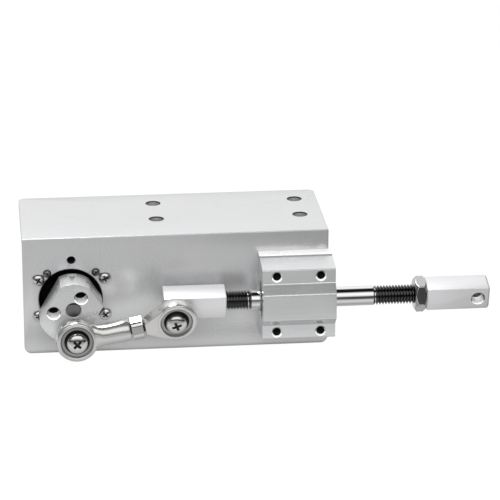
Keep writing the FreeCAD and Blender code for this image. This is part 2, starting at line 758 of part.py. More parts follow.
def ball(label, x, y, z, turn=None):
    """Ball with two flats and a pin bore along its own Y axis."""
    bore = "Size.pin_radius + Size.screw_slack"
    return keep(turned_body(label, [
        (bore, "-Size.ball_half"),
        (BALL_FACE, "-Size.ball_half", "Size.ball_radius"),
        (BALL_FACE, "Size.ball_half"),
        (bore, "Size.ball_half"),
    ], "Y", x, y, z, turn))


def race(label, x, y, z, turn):
    """Race with a hollow spherical seat that runs on the ball."""
    seat = "(Size.ball_radius + Size.running_gap)"
    lip = "sqrt(%s ^ 2 - Size.race_half ^ 2)" % seat
    return keep(turned_body(label, [
        (lip, "-Size.race_half"),
        ("Size.race_radius", "-Size.race_half"),
        ("Size.race_radius", "Size.race_half"),
        (lip, "Size.race_half", "-" + seat),
    ], "Y", x, y, z, turn))


def finish_rod_end(body):
    """Adds the crowned eye of a rod end about the body's Y axis and opens its seat for the race."""
    label = body.Label
    rise = "(Size.head_radius - Size.head_face)"
    crown = "((Size.head_half ^ 2 + %s ^ 2) / (2 * %s))" % (rise, rise)
    eye = new_sketch(body, "XY_Plane", label + "_eye")
    add_outline(eye, [
        ("0", "-Size.head_half"),
        ("Size.head_face", "-Size.head_half", crown),
        ("Size.head_face", "Size.head_half"),
        ("0", "Size.head_half"),
    ])
    add_feature(body, "Revolution", label + "_head", eye, ReferenceAxis=(eye, ["V_Axis"]), Angle=360)
    seat = new_sketch(body, "XY_Plane", label + "_seat")
    wide = "Size.race_radius + Size.screw_slack"
    clear = "Size.head_half + Size.hole_break"
    add_outline(seat, [
        ("0", "-(%s)" % clear),
        ("Size.head_bevel", "-(%s)" % clear),
        ("Size.head_bevel", "-Size.head_half"),
        (wide, "-Size.race_half"),
        (wide, "Size.race_half"),
        ("Size.head_bevel", "Size.head_half"),
        ("Size.head_bevel", clear),
        ("0", clear),
    ])
    cut(body, label + "_opening", seat, ReferenceAxis=(seat, ["V_Axis"]), Angle=360)
    return keep(body)


def make_big_rod_end(tilt):
    """Rod end with a waisted round barrel, tapped for the other rod end's stud."""
    body = turned_body("big_rod_end", [
        ("0", "0"),
        ("Size.barrel_end", "0"),
        ("Size.barrel_end", "Size.barrel_radius - Size.bracket_edge"),
        ("Size.barrel_end - Size.bracket_edge", "Size.barrel_radius"),
        ("Size.barrel_shoulder", "Size.barrel_radius"),
        ("Size.barrel_waist_at", "Size.barrel_waist"),
        ("0", "Size.barrel_waist"),
    ], "X", BIG_END_X, CONROD_Y, BIG_END_Z, tilt)
    bore = new_sketch(body, "YZ_Plane", "barrel_bore", "Size.barrel_bore_from")
    add_circle(bore, "0", "0", "Size.pin_radius")
    cut(body, "barrel_tapping", bore, Type="Length", Length="Size.barrel_end - Size.barrel_bore_from",
        Reversed=True)
    finish_rod_end(body)


def make_small_rod_end(turn):
    """Rod end with a flat taper that runs into a threaded stud."""
    body = new_body("small_rod_end", "Size.small_end_x", CONROD_Y, SMALL_END_Z, turn)
    taper = new_sketch(body, "XZ_Plane", "taper_outline", "-Size.taper_thick_half")
    add_outline(taper, [
        ("-Size.taper_end", "-Size.taper_end_half"),
        ("-Size.taper_root", "-Size.taper_root_half"),
        ("-Size.taper_root", "Size.taper_root_half"),
        ("-Size.taper_end", "Size.taper_end_half"),
    ])
    add_feature(body, "Pad", "taper_web", taper, Length="2 * Size.taper_thick_half")
    end = -number("Size.taper_end")

    def along_taper(edge):
        return abs(edge.CenterOfMass.y) > 1 and end + 1 < edge.CenterOfMass.x < -number("Size.taper_root") - 1

    dress_edges(body, "Chamfer", "taper_edges", "2 * Size.bracket_edge", along_taper)
    stud = new_sketch(body, "XY_Plane", "stud_profile")
    add_outline(stud, [
        ("-Size.stud_end", "0"),
        ("-Size.taper_end + Size.hole_break", "0"),
        ("-Size.taper_end + Size.hole_break", "Size.stud_radius"),
        ("-Size.stud_end + Size.hole_break", "Size.stud_radius"),
        ("-Size.stud_end", "Size.stud_radius - Size.hole_break"),
    ])
    add_feature(body, "Revolution", "stud_turn", stud, ReferenceAxis=(stud, ["H_Axis"]), Angle=360)
    finish_rod_end(body)


def standoff(label, start, end, x, y, z, turn=None, stud=None):
    """Collar that holds a ball clear of what carries it, with a stud behind it where one is given."""
    if stud is None:
        bore = "Size.pin_radius + Size.screw_slack"
        profile = [(bore, start), ("Size.standoff_radius", start), ("Size.standoff_radius", end), (bore, end)]
    else:
        shank = "Size.stroke_hole - Size.screw_slack"
        profile = [("0", start), ("Size.standoff_radius", start), ("Size.standoff_radius", end),
                   (shank, end), (shank, stud), ("0", stud)]
    return keep(turned_body(label, profile, "Y", x, y, z, turn))


def make_connecting_rod():
    """Both rod ends with balls, races, screws and standoffs. The crank pin is the opened pivot."""
    tilt = FreeCAD.Rotation(FRONT_AXIS, conrod_tilt())
    rolled = tilt.multiply(roll_turn())
    big = (BIG_END_X, CONROD_Y, BIG_END_Z)
    small = ("Size.small_end_x", CONROD_Y, SMALL_END_Z)
    make_big_rod_end(tilt)
    make_small_rod_end(rolled)
    hexagon_nut("jam_nut", "Size.jam_nut_from", "Size.jam_nut_thick", "Size.jam_nut_flat",
                "Size.pin_radius", *big, turn=tilt)
    ball("big_end_ball", *big)
    race("big_end_race", *big, turn=tilt)
    ball("small_end_ball", *small, turn=roll_turn())
    race("small_end_race", *small, turn=rolled)
    keep(pan_screw("big_end_screw", "Size.pin_head", "Size.pin_head_height", "Size.pin_radius",
                   "2 * Size.ball_half", BIG_END_X, CONROD_Y + " - Size.ball_half", BIG_END_Z))
    lead = "(Size.conrod_front - Size.crank_front)"
    standoff("crank_standoff", "Size.ball_half + Size.open_gap", lead, *big,
             stud="Size.conrod_front - Size.crank_back")
    head_y = "%s - Size.ball_half * cos(Size.slider_roll)" % CONROD_Y
    head_z = "%s - Size.ball_half * sin(Size.slider_roll)" % SMALL_END_Z
    keep(pan_screw("small_end_screw", "Size.pin_head", "Size.pin_head_height", "Size.pin_radius",
                   "(%s + Size.ball_half + Size.bar_half)" % PIN_REACH, "Size.small_end_x", head_y, head_z,
                   roll_turn()))
    standoff("small_end_standoff", "Size.ball_half", "(%s - Size.bar_half)" % PIN_REACH, *small,
             turn=roll_turn())


def make_gearbox():
    """Gearbox behind the plate: tapped front plate with its bush, round housing and back plate."""
    place = (SHAFT_X, PLATE_BACK, AXIS_Z)
    front = turned_body("gearbox_front_plate", [
        ("Size.bush_radius", "0"),
        ("Size.gearbox_radius", "0"),
        ("Size.gearbox_radius", "Size.gearbox_plate"),
        ("Size.bush_radius", "Size.gearbox_plate"),
    ], "Y", *place)
    holes = new_sketch(front, "XZ_Plane", "gearbox_holes")
    for angle in MOTOR_SCREW_ANGLES + (SPARE_SCREW_ANGLE, SPARE_SCREW_ANGLE + 180):
        add_circle(holes, *round_about("Size.motor_circle", angle), "Size.motor_screw + Size.screw_slack")
    for angle in GEARBOX_SCREW_ANGLES:
        add_circle(holes, *round_about("Size.gearbox_circle", angle), "Size.gearbox_screw + Size.screw_slack")
    cut(front, "gearbox_tapping", holes, Type="Length", Length="Size.gearbox_plate")
    keep(front)
    keep(turned_body("output_bush", [
        ("Size.shaft_radius + Size.running_gap", "-Size.bush_flange_thick"),
        ("Size.bush_flange", "-Size.bush_flange_thick"),
        ("Size.bush_flange", "0"),
        ("Size.bush_radius - Size.screw_slack", "0"),
        ("Size.bush_radius - Size.screw_slack", "Size.gearbox_plate"),
        ("Size.shaft_radius + Size.running_gap", "Size.gearbox_plate"),
    ], "Y", *place))
    keep(turned_body("gearbox_housing", [
        ("Size.gearbox_inner", "Size.gearbox_plate"),
        ("Size.gearbox_radius", "Size.gearbox_plate"),
        ("Size.gearbox_radius", GEARBOX_BACK_AT),
        ("Size.gearbox_inner", GEARBOX_BACK_AT),
    ], "Y", *place))
    keep(turned_body("gearbox_back_plate", [
        ("Size.gearbox_back_hole", GEARBOX_BACK_AT),
        ("Size.gearbox_radius", GEARBOX_BACK_AT),
        ("Size.gearbox_radius", CAN_AT),
        ("Size.gearbox_back_hole", CAN_AT),
    ], "Y", *place))


def gear_blank(label, teeth, bore, start, end, place, turn):
    """External gear: a root disc with straight-flanked teeth patterned round the body's Y axis."""
    pitch = "(Size.gear_module * %s / 2)" % teeth
    root = "(%s - Size.tooth_dedendum * Size.gear_module)" % pitch
    tip = "(%s + Size.tooth_addendum * Size.gear_module)" % pitch
    profile = [(bore, start), (root, start), (root, end), (bore, end)]
    body = turned_body(label, profile, "Y", *place, turn=turn)
    add_teeth(body, teeth, "(%s - Size.open_gap)" % root, root, pitch, tip, start, end)
    return keep(body)


def add_teeth(body, teeth, inner, root, pitch, tip, start, end):
    """One tooth on the body's own X axis from the blank to its tip, repeated all round."""
    label = body.Label
    middle = "(Size.tooth_share * Size.gear_module * pi / 2)"

    def half_width(radius):
        return "(%s + abs(%s - %s) * tan(Size.tooth_slope) * %s)" % (
            middle, pitch, radius, "1" if radius is root else "-1")

    tooth = new_sketch(body, "XZ_Plane", label + "_tooth", "-(%s)" % end)
    add_outline(tooth, [
        (inner, "-" + half_width(root)),
        (root, "-" + half_width(root)),
        (tip, "-" + half_width(tip)),
        (tip, half_width(tip)),
        (root, half_width(root)),
        (inner, half_width(root)),
    ])
    pad = add_feature(body, "Pad", label + "_tooth_pad", tooth, Length="%s - (%s)" % (end, start))
    doc.recompute()
    pattern = body.newObject("PartDesign::PolarPattern", label + "_teeth")
    pattern.Originals = [pad]
    for feature in body.Origin.OriginFeatures:
        if feature.Role == "Y_Axis":
            pattern.Axis = (feature, [""])
    pattern.Angle = 360
    pattern.setExpression("Occurrences", teeth)
    body.Tip = pattern
    doc.recompute()


def make_reduction():
    """Fixed ring gear, carrier with three pins on the output shaft, three planets and the motor's sun."""
    place = (SHAFT_X, PLATE_BACK, AXIS_Z)
    start = "Size.gear_from"
    end = "(Size.gear_from + Size.gear_width)"
    ring_pitch = "(Size.gear_module * Size.ring_teeth / 2)"
    ring_root = "(%s + Size.tooth_dedendum * Size.gear_module)" % ring_pitch
    ring_tip = "(%s - Size.tooth_addendum * Size.gear_module)" % ring_pitch
    outer = "(Size.gearbox_inner - Size.screw_slack)"
    half_pitch = FreeCAD.Rotation(FRONT_AXIS, PLANET_ANGLES[0] + 180 / number("Size.ring_teeth"))
    ring = turned_body("ring_gear", [(ring_root, start), (outer, start), (outer, end), (ring_root, end)], "Y",
                       *place, turn=half_pitch)
    add_teeth(ring, "Size.ring_teeth", "(%s + Size.open_gap)" % ring_root, ring_root, ring_pitch, ring_tip,
              start, end)
    keep(ring)
    carrier = turned_body("planet_carrier", [
        ("Size.shaft_radius + Size.screw_slack", "Size.carrier_from"),
        ("Size.carrier_radius", "Size.carrier_from"),
        ("Size.carrier_radius", "Size.carrier_from + Size.carrier_thick"),
        ("Size.shaft_radius + Size.screw_slack", "Size.carrier_from + Size.carrier_thick"),
    ], "Y", *place)
    pins = new_sketch(carrier, "XZ_Plane", "planet_pins", "-(%s)" % end)
    for angle in PLANET_ANGLES:
        add_circle(pins, *round_about(PLANET_CIRCLE, angle), "Size.planet_pin")
    add_feature(carrier, "Pad", "planet_pin_pad", pins, Length="%s - Size.carrier_from" % end)
    keep(carrier)
    for name, angle in zip("abc", PLANET_ANGLES):
        x, z = round_about(PLANET_CIRCLE, angle)
        bore = "Size.planet_pin + Size.running_gap"
        gear_blank("planet_gear_" + name, "Size.planet_teeth", bore, start, end,
                   ("%s + %s" % (SHAFT_X, x), PLATE_BACK, "%s + %s" % (AXIS_Z, z)),
                   FreeCAD.Rotation(FRONT_AXIS, angle))
    gear_blank("sun_pinion", "Size.sun_teeth", "Size.rotor_shaft + Size.screw_slack", start,
               "(%s + Size.sun_overhang)" % end, place, FreeCAD.Rotation(FRONT_AXIS, PLANET_ANGLES[0]))


def make_rotor():
    """Motor shaft, slotted core, copper coils that fill the slots, commutator."""
    place = (SHAFT_X, PLATE_BACK, AXIS_Z)
    core_end = "(%s + Size.core_length)" % CORE_AT
    bore = "Size.rotor_shaft + Size.screw_slack"
    keep(turned_body("armature_shaft", [
        ("0", "Size.gear_from"),
        ("Size.rotor_shaft", "Size.gear_from"),
        ("Size.rotor_shaft", "%s + Size.rotor_tail" % CAP_AT),
        ("0", "%s + Size.rotor_tail" % CAP_AT),
    ], "Y", *place))
    core = turned_body("armature_core", [
        (bore, CORE_AT), ("Size.core_radius", CORE_AT), ("Size.core_radius", core_end), (bore, core_end),
    ], "Y", *place)
    windings = turned_body("armature_windings", [
        ("Size.core_hub", "%s - Size.coil_gap - Size.coil_overhang" % CORE_AT),
        ("Size.coil_reach", "%s - Size.coil_gap - Size.coil_overhang" % CORE_AT),
        ("Size.coil_reach", "%s - Size.coil_gap" % CORE_AT),
        ("Size.core_hub", "%s - Size.coil_gap" % CORE_AT),
    ], "Y", *place)
    coil_end = "-(%s + Size.coil_gap + Size.coil_overhang)" % core_end
    far_end = new_sketch(windings, "XZ_Plane", "coil_far_end", coil_end)
    add_circle(far_end, "0", "0", "Size.core_hub")
    add_circle(far_end, "0", "0", "Size.coil_reach")
    slots = new_sketch(core, "XZ_Plane", "core_slot", "-(%s)" % core_end)
    sides = new_sketch(windings, "XZ_Plane", "coil_side", coil_end)
    half = "(Size.core_slot_wide / 2)"
    slack = "Size.coil_gap"
    add_outline(slots, [
        ("Size.core_hub", "-" + half),
        ("Size.core_radius + Size.open_gap", "-" + half),
        ("Size.core_radius + Size.open_gap", half),
        ("Size.core_hub", half),
    ])
    add_outline(sides, [
        ("Size.core_hub + " + slack, "-%s + %s" % (half, slack)),
        ("Size.coil_reach", "-%s + %s" % (half, slack)),
        ("Size.coil_reach", "%s - %s" % (half, slack)),
        ("Size.core_hub + " + slack, "%s - %s" % (half, slack)),
    ])
    slot = cut(core, "core_slotting", slots, Type="Length", Length="Size.core_length", Reversed=True)
    coil_length = "Size.core_length + 2 * Size.coil_gap + 2 * Size.coil_overhang"
    side = add_feature(windings, "Pad", "coil_sides", sides, Length=coil_length)
    for body, feature in ((core, slot), (windings, side)):
        doc.recompute()
        pattern = body.newObject("PartDesign::PolarPattern", body.Label + "_pattern")
        pattern.Originals = [feature]
        for axis in body.Origin.OriginFeatures:
            if axis.Role == "Y_Axis":
                pattern.Axis = (axis, [""])
        pattern.Angle = 360
        pattern.setExpression("Occurrences", "Size.core_slots")
        body.Tip = pattern
    doc.recompute()
    add_feature(windings, "Pad", "coil_far_ring", far_end, Length="Size.coil_overhang")
    keep(core)
    keep(windings)
    keep(turned_body("commutator", [
        (bore, COMMUTATOR_AT),
        ("Size.commutator_radius", COMMUTATOR_AT),
        ("Size.commutator_radius", "%s + Size.commutator_length" % COMMUTATOR_AT),
        (bore, "%s + Size.commutator_length" % COMMUTATOR_AT),
    ], "Y", *place))


def make_motor():
    """Motor: drawn steel can with two magnets, bushes, moulded end cap, solder tags that hold the brushes."""
    place = (SHAFT_X, PLATE_BACK, AXIS_Z)
    inner = "(Size.can_radius - Size.can_wall)"
    corner = "2 * Size.can_wall"
    keep(turned_body("motor_can", [
        ("Size.can_hole", CAN_AT),
        ("Size.can_radius - " + corner, CAN_AT, corner),
        ("Size.can_radius", "%s + %s" % (CAN_AT, corner)),
        ("Size.can_radius", CAN_END),
        (inner, CAN_END),
        (inner, "%s + Size.can_wall" % CAN_AT),
        ("Size.can_hole", "%s + Size.can_wall" % CAN_AT),
    ], "Y", *place))
    magnets = []
    for i, angle in enumerate((90, 270)):
        lean = FreeCAD.Rotation(FRONT_AXIS, angle - number("Size.magnet_sweep") / 2)
        magnets.append(turned_body("motor_magnet_%d" % i, [
            ("Size.magnet_inner", "%s - Size.can_wall" % CORE_AT),
            (inner + " - Size.screw_slack", "%s - Size.can_wall" % CORE_AT),
            (inner + " - Size.screw_slack", "%s + Size.core_length + Size.can_wall" % CORE_AT),
            ("Size.magnet_inner", "%s + Size.core_length + Size.can_wall" % CORE_AT),
        ], "Y", *place, turn=lean, angle="Size.magnet_sweep"))
    group("motor_magnets", magnets)
    cap_socket = "Size.rotor_bush"
    cap = turned_body("motor_end_cap", [
        (cap_socket, CAP_AT),
        (inner + " - Size.screw_slack", CAP_AT),
        (inner + " - Size.screw_slack", CAN_END),
        ("Size.cap_boss", CAN_END),
        ("Size.cap_boss - Size.hole_break", "%s + Size.cap_boss_length" % CAN_END),
        ("0", "%s + Size.cap_boss_length" % CAN_END),
        ("0", CAN_END),
        (cap_socket, CAN_END),
    ], "Y", *place)
    bushes = []
    for i, (start, end) in enumerate(((CAN_AT, "%s + 2 * Size.can_wall" % CAN_AT), (CAP_AT, CAN_END))):
        bushes.append(turned_body("motor_bush_%d" % i, [
            ("Size.rotor_shaft + Size.running_gap", start),
            ("Size.rotor_bush - Size.screw_slack", start),
            ("Size.rotor_bush - Size.screw_slack", end),
            ("Size.rotor_shaft + Size.running_gap", end),
        ], "Y", *place))
    group("motor_bushes", bushes)
    slots = new_sketch(cap, "XZ_Plane", "terminal_slots", "-" + CAN_END)
    tags = []
    brushes = []
    wide = "Size.terminal_wide"
    slack = "Size.screw_slack"
    for i, side in enumerate(("", "-")):
        low, high = sorted((side + "(Size.terminal_half - Size.terminal_thick)", side + "Size.terminal_half"),
                           key=number)
        add_outline(slots, [
            ("%s - %s" % (low, slack), "-%s - %s" % (wide, slack)),
            ("%s + %s" % (high, slack), "-%s - %s" % (wide, slack)),
            ("%s + %s" % (high, slack), "%s + %s" % (wide, slack)),
            ("%s - %s" % (low, slack), "%s + %s" % (wide, slack)),
        ])
        tag = new_body("motor_terminal_%d" % i, *place)
        section = new_sketch(tag, "XZ_Plane", "terminal_section_%d" % i,
                             "-(%s + Size.terminal_length)" % CAN_END)
        add_outline(section, [(low, "-" + wide), (high, "-" + wide), (high, wide), (low, wide)])
        add_feature(tag, "Pad", "terminal_tag_%d" % i, section,
                    Length="Size.terminal_length + Size.terminal_root")
        tags.append(tag)
        brush_low, brush_high = sorted((side + "(Size.commutator_radius + Size.running_gap)",
                                        side + "(Size.terminal_half - Size.terminal_thick)"), key=number)
        brush = new_body("motor_brush_%d" % i, *place)
        face = new_sketch(brush, "XZ_Plane", "brush_section_%d" % i,
                          "-(%s + Size.commutator_length - Size.running_gap)" % COMMUTATOR_AT)
        half = "Size.brush_wide"
        add_outline(face, [(brush_low, "-" + half), (brush_high, "-" + half), (brush_high, half),
                           (brush_low, half)])
        add_feature(brush, "Pad", "brush_block_%d" % i, face, Length="Size.brush_length")
        brushes.append(brush)
    cut(cap, "terminal_slotting", slots, Type="Length", Length="Size.cap_thick", Reversed=True)
    keep(cap)
    group("motor_terminals", tags)
    group("motor_brushes", brushes)


def write_parts():
    """Checks every object and solid, then writes each sub-part to its own file."""
    doc.recompute()
    for thing in doc.Objects:
        if "Invalid" in thing.State or "Error" in thing.State:
            raise ValueError("%s did not build" % thing.Label)
    for piece in pieces:
        if piece.Shape.isNull() or not piece.Shape.isValid():
            raise ValueError("%s has no valid shape" % piece.Label)
    os.makedirs("parts", exist_ok=True)
    for piece in pieces:
        piece.Shape.exportStep("parts/%s.step" % piece.Label)
        box = piece.Shape.BoundBox
        print("%-22s solids %d volume %9.1f  x %.1f %.1f  y %.1f %.1f  z %.1f %.1f" % (
            piece.Label, len(piece.Shape.Solids), piece.Shape.Volume, box.XMin, box.XMax, box.YMin, box.YMax,
            box.ZMin, box.ZMax))
    print("connecting rod %.3f mm long at %.3f degrees" % (number(conrod_length()), conrod_tilt()))


make_bracket()
make_plate_screws()
make_block_screws()
make_bearing_block()
make_bearing()
make_guide_rod()
make_slider_blocks()
hexagon_nut("lock_nut", "Size.lock_nut_from", "Size.end_block_from - Size.lock_nut_from",
            "Size.lock_nut_flat", "Size.rod_thread + Size.screw_slack", "0", ROD_Y, AXIS_Z,
            turn=FreeCAD.Rotation(ROD_AXIS, number("Size.lock_nut_roll")))
make_crank()
make_output_shaft()
make_connecting_rod()
make_gearbox()
make_reduction()
make_motor()
make_rotor()
write_parts()
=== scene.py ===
import json
import math

import bpy
from mathutils import Matrix, Vector


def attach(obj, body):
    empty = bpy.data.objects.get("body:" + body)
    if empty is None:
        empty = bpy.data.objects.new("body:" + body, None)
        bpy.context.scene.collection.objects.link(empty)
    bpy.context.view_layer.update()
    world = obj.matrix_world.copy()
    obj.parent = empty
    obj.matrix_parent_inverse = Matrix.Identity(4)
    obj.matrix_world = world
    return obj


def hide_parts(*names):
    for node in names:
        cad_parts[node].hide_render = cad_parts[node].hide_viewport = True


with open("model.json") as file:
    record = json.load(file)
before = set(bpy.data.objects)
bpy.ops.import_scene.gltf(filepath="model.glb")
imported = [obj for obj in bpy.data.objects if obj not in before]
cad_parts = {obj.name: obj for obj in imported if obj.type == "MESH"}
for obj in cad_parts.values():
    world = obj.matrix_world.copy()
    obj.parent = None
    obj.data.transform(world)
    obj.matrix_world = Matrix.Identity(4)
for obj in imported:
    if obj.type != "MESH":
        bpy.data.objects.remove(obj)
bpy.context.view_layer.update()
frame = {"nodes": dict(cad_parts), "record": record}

MM = 0.001
NODES = frame["nodes"]

# Places of the object's axes and planes in the shared frame, in millimetres and degrees
PLATE_FRONT = -30.0
PLATE_BACK = -26.0
PLATE_FOOT = -50.0
FLANGE_UNDER = -4.0
AXIS_HEIGHT = -25.5
SHAFT_X = -66.4
ROD_Y = -41.0
BLOCK_X = 25.2
PIN_X = -25.4
LINK_Y = -52.5
SLIDER_ROLL = 14.0
CRANK_THROW = 10.5
CRANK_ANGLE = -85.4
STROKE_HOLES = ((6.0, 58.7), (8.1, -173.3), (CRANK_THROW, CRANK_ANGLE))
BIG_END = (SHAFT_X + CRANK_THROW * math.cos(math.radians(CRANK_ANGLE)), LINK_Y,
           AXIS_HEIGHT + CRANK_THROW * math.sin(math.radians(CRANK_ANGLE)))
SMALL_END = (PIN_X, LINK_Y, AXIS_HEIGHT + (LINK_Y - ROD_Y) * math.tan(math.radians(SLIDER_ROLL)))
LINK_TILT = math.degrees(math.atan2(SMALL_END[2] - BIG_END[2], SMALL_END[0] - BIG_END[0]))
FLANGE_HOLES = [(x, y, 0.0) for x in (-30.0, 30.0) for y in (-10.0, 10.0)]
MOTOR_SCREW_ANGLES = (30, 150, 210, 330)
MOTOR_SCREW_CIRCLE = 15.75
SPARE_SCREW_ANGLE = 90
GEARBOX_SCREW_ANGLES = (46.5, 133.5)
GEARBOX_SCREW_CIRCLE = 14.4
BLOCK_HOLES = [(BLOCK_X + x, AXIS_HEIGHT + z) for x in (-9.0, 9.0) for z in (-12.0, 12.0)]
LOCK_NUT_X = (73.4, 78.4)
TAG_X = (-10.75, 10.75)

# Sizes that several pieces share, in millimetres
CRANK_HEIGHT = 16.0
GEARBOX_HOLE_RADIUS = 1.05
BLOCK_TAPPING_RADIUS = 2.05
GEARBOX_RADIUS = 18.5
GEARBOX_FRONT_END = 4.0
HOUSING_END = 22.0
GEARBOX_BACK_END = 24.5

# Threads: radius of crest and root, pitch
ROD_THREAD = (3.96, 3.08, 1.25)
STUD_THREAD = (2.45, 2.05, 0.8)
THREAD_STEPS = 40

# Cross-recess screws: radius and height of the head, radius of the shank,
# then reach, width and depth of the recess
MOTOR_SCREW = (2.65, 2.0, 1.5, (1.75, 0.75, 1.3))
GEARBOX_SCREW = (1.75, 1.5, 1.0, (0.95, 0.4, 0.8))
LINK_SCREW = (4.25, 2.3, 2.5, (2.4, 1.3, 1.6))

# Steps of a full turn
FINE = 96
MEDIUM = 64
COARSE = 48
# Edges shallower than this are shaded softly, in degrees
SMOOTH_ANGLE = 32.0
SOFT_ANGLE = 40.0
# Corners closer than this are merged, or count as one place, in millimetres
WELD = 0.0005
TURN_WELD = 0.002
THREAD_WELD = 0.005
TOUCH = 0.01
# How far a cutter stands out of a face, and how far it runs past a wall, in millimetres
OVER = 0.5
PAST = 1.0

# Camera fitted to the photograph's bracket corners, in millimetres and degrees
CAMERA_PLACE = (-103.8, -1087.6, 376.2)
CAMERA_PITCH = 19.859
CAMERA_YAW = 5.958
CAMERA_ROLL = -0.063
CAMERA_LENS = 198.34
SENSOR = 36.0
SIGHT = 20000.0

# Brightness of the room by angle from straight up, forwards positive, and its fade towards both sides
ROOM_LEVELS = ((-180, 0.5), (-100, 0.7), (-72, 1.06), (-40, 1.1), (-28, 0.9), (-18, 0.012), (20, 0.012),
               (34, 0.9), (42, 1.2), (56, 1.2), (64, 1.0), (72, 0.7), (82, 0.05), (92, 0.03), (180, 0.03))
SIDE_FADE = (0.45, 0.8)
SIDE_LEVEL = 0.2
# Glow of the floor as the metal sees it, by distance along Y in metres: painted bands of light and shade,
# with a painted contact shadow where the floor meets the plate
FLOOR_LEVELS = ((-0.25, 0.33), (-0.16, 0.40), (-0.13, 0.27), (-0.10, 0.48), (-0.07, 0.72), (-0.055, 0.48),
                (-0.045, 0.30), (-0.035, 0.56), (-0.032, 0.56), (-0.0308, 0.2), (-0.028, 0.2), (-0.02, 0.7),
                (0.0, 0.81), (0.05, 0.67))
# Where that floor is dimmed with painted shade: far out in front of the rod's right half, and below the end
# block
ROD_SHADE_X = (0.05, 0.062)
ROD_SHADE_Y = (-0.135, -0.108)
ROD_SHADE = 0.95
END_SHADE_X = (0.078, 0.1)
END_LEVEL = 0.42
FLOOR_SIZE = 12.0
FLOOR_GAP = 0.0001
FLOOR_TONE = 0.05
FLOOR_WHITE = 0.97
# Soft boxes: place and size in metres, power in watts, and whether the metal mirrors them
SOFT_BOXES = (("key_box", (-0.25, 0.35, 1.0), (0.5, 0.35), 4.0, True),
              ("sky_box", (-0.15, -0.45, 1.1), (0.7, 0.5), 6.0, False),
              ("fill_box", (-0.1, -1.15, 0.45), (0.9, 0.5), 17.0, False))
LIT_SPOT = (0.0, -0.04, -0.02)


# Modelling tools

def deselect():
    """Nothing is selected."""
    bpy.ops.object.select_all(action="DESELECT")


def pick(piece):
    """Only this piece is selected and active."""
    deselect()
    piece.select_set(True)
    bpy.context.view_layer.objects.active = piece


def edit(piece):
    """Edit mode on one piece with everything in it selected."""
    pick(piece)
    bpy.ops.object.mode_set(mode="EDIT")
    bpy.ops.mesh.select_all(action="SELECT")


def leave_edit():
    """Back to object mode."""
    bpy.ops.object.mode_set(mode="OBJECT")


def trace(name, points):
    """A chain of edges through points in millimetres, left in edit mode."""
    deselect()
    bpy.ops.mesh.primitive_plane_add(size=MM, location=Vector(points[0]) * MM)
    piece = bpy.context.active_object
    piece.name = name
    piece.data.name = name
    bpy.ops.object.transform_apply(location=True, rotation=False, scale=False)
    bpy.ops.object.mode_set(mode="EDIT")
    bpy.ops.mesh.select_mode(type="VERT")
    bpy.ops.mesh.select_all(action="SELECT")
    bpy.ops.mesh.merge(type="CENTER")
    for here, there in zip(points, points[1:]):
        step = (Vector(there) - Vector(here)) * MM
        bpy.ops.mesh.extrude_vertices_move(TRANSFORM_OT_translate={"value": step})
    bpy.ops.mesh.select_all(action="SELECT")
    return piece


def close_up():
    """Merges doubles of the mesh in edit mode, turns its faces outwards and goes back to object mode."""
    bpy.ops.mesh.select_all(action="SELECT")
    bpy.ops.mesh.remove_doubles(threshold=WELD * MM)
    bpy.ops.mesh.normals_make_consistent(inside=False)
    leave_edit()


def lathe(name, profile, axis="Y", steps=FINE, ring=False):
    """Turned piece: (radius, along) pairs spun about Y or X. A ring's profile is closed on itself."""
    spots = list(profile) + ([profile[0]] if ring else [])
    if axis == "Y":
        points = [(radius, along, 0.0) for radius, along in spots]
        way = (0.0, 1.0, 0.0)
    else:
        points = [(along, radius, 0.0) for radius, along in spots]
        way = (1.0, 0.0, 0.0)
    piece = trace(name, points)
    bpy.ops.mesh.remove_doubles(threshold=WELD * MM)
    bpy.ops.mesh.spin(steps=steps, angle=2.0 * math.pi, center=(0.0, 0.0, 0.0), axis=way)
    close_up()
    return piece


def prism(name, outline, depth):
    """Flat outline of points in millimetres, extruded by a vector."""
    piece = trace(name, outline)
    bpy.ops.mesh.edge_face_add()
    bpy.ops.mesh.extrude_region_move(TRANSFORM_OT_translate={"value": Vector(depth) * MM})
    close_up()
    return piece


def arc(radius, start, end, steps, centre=(0.0, 0.0)):
    """Points of an arc in a plane, from one angle to another."""
    spots = []
    for i in range(steps + 1):
        angle = math.radians(start + (end - start) * i / steps)
        spots.append((centre[0] + radius * math.cos(angle), centre[1] + radius * math.sin(angle)))
    return spots


def settle(piece, place=(0.0, 0.0, 0.0), tilt=0.0, roll=0.0, spin=0.0):
    """Spins a piece about Y, rolls it about X, tilts it about Y and moves it, all in its mesh."""
    turn = Matrix.Rotation(math.radians(-tilt), 4, "Y") @ Matrix.Rotation(math.radians(roll), 4, "X")
    turn = turn @ Matrix.Rotation(math.radians(-spin), 4, "Y")
    pick(piece)
    piece.matrix_world = Matrix.Translation(Vector(place) * MM) @ turn
    bpy.ops.object.transform_apply(location=True, rotation=True, scale=True)
    return piece


def copies(piece, name, count):
    """A piece and its copies, each with a mesh of its own, numbered under one name."""
    row = [piece]
    for _ in range(count - 1):
        pick(piece)
        bpy.ops.object.duplicate(linked=False)
        row.append(bpy.context.active_object)
    for i, member in enumerate(row):
        member.name = "%s_%d" % (name, i)
        member.data.name = member.name
    return row


def apply_modifier(piece, kind, **settings):
    """Adds a modifier and applies it."""
    pick(piece)
    modifier = piece.modifiers.new(kind.lower(), kind)
    for setting, value in settings.items():
        setattr(modifier, setting, value)
    bpy.ops.object.modifier_apply(modifier=modifier.name)


def cut(piece, cutter):
    """Takes a cutter away from a piece."""
    apply_modifier(piece, "BOOLEAN", operation="DIFFERENCE", object=cutter)
    bpy.data.objects.remove(cutter)


def cut_row(piece, cutter, places, roll=0.0):
    """Takes copies of one cutter away from a piece, one at each place."""
    for copy, place in zip(copies(cutter, cutter.name, len(places)), places):
        cut(piece, settle(copy, place, roll=roll))


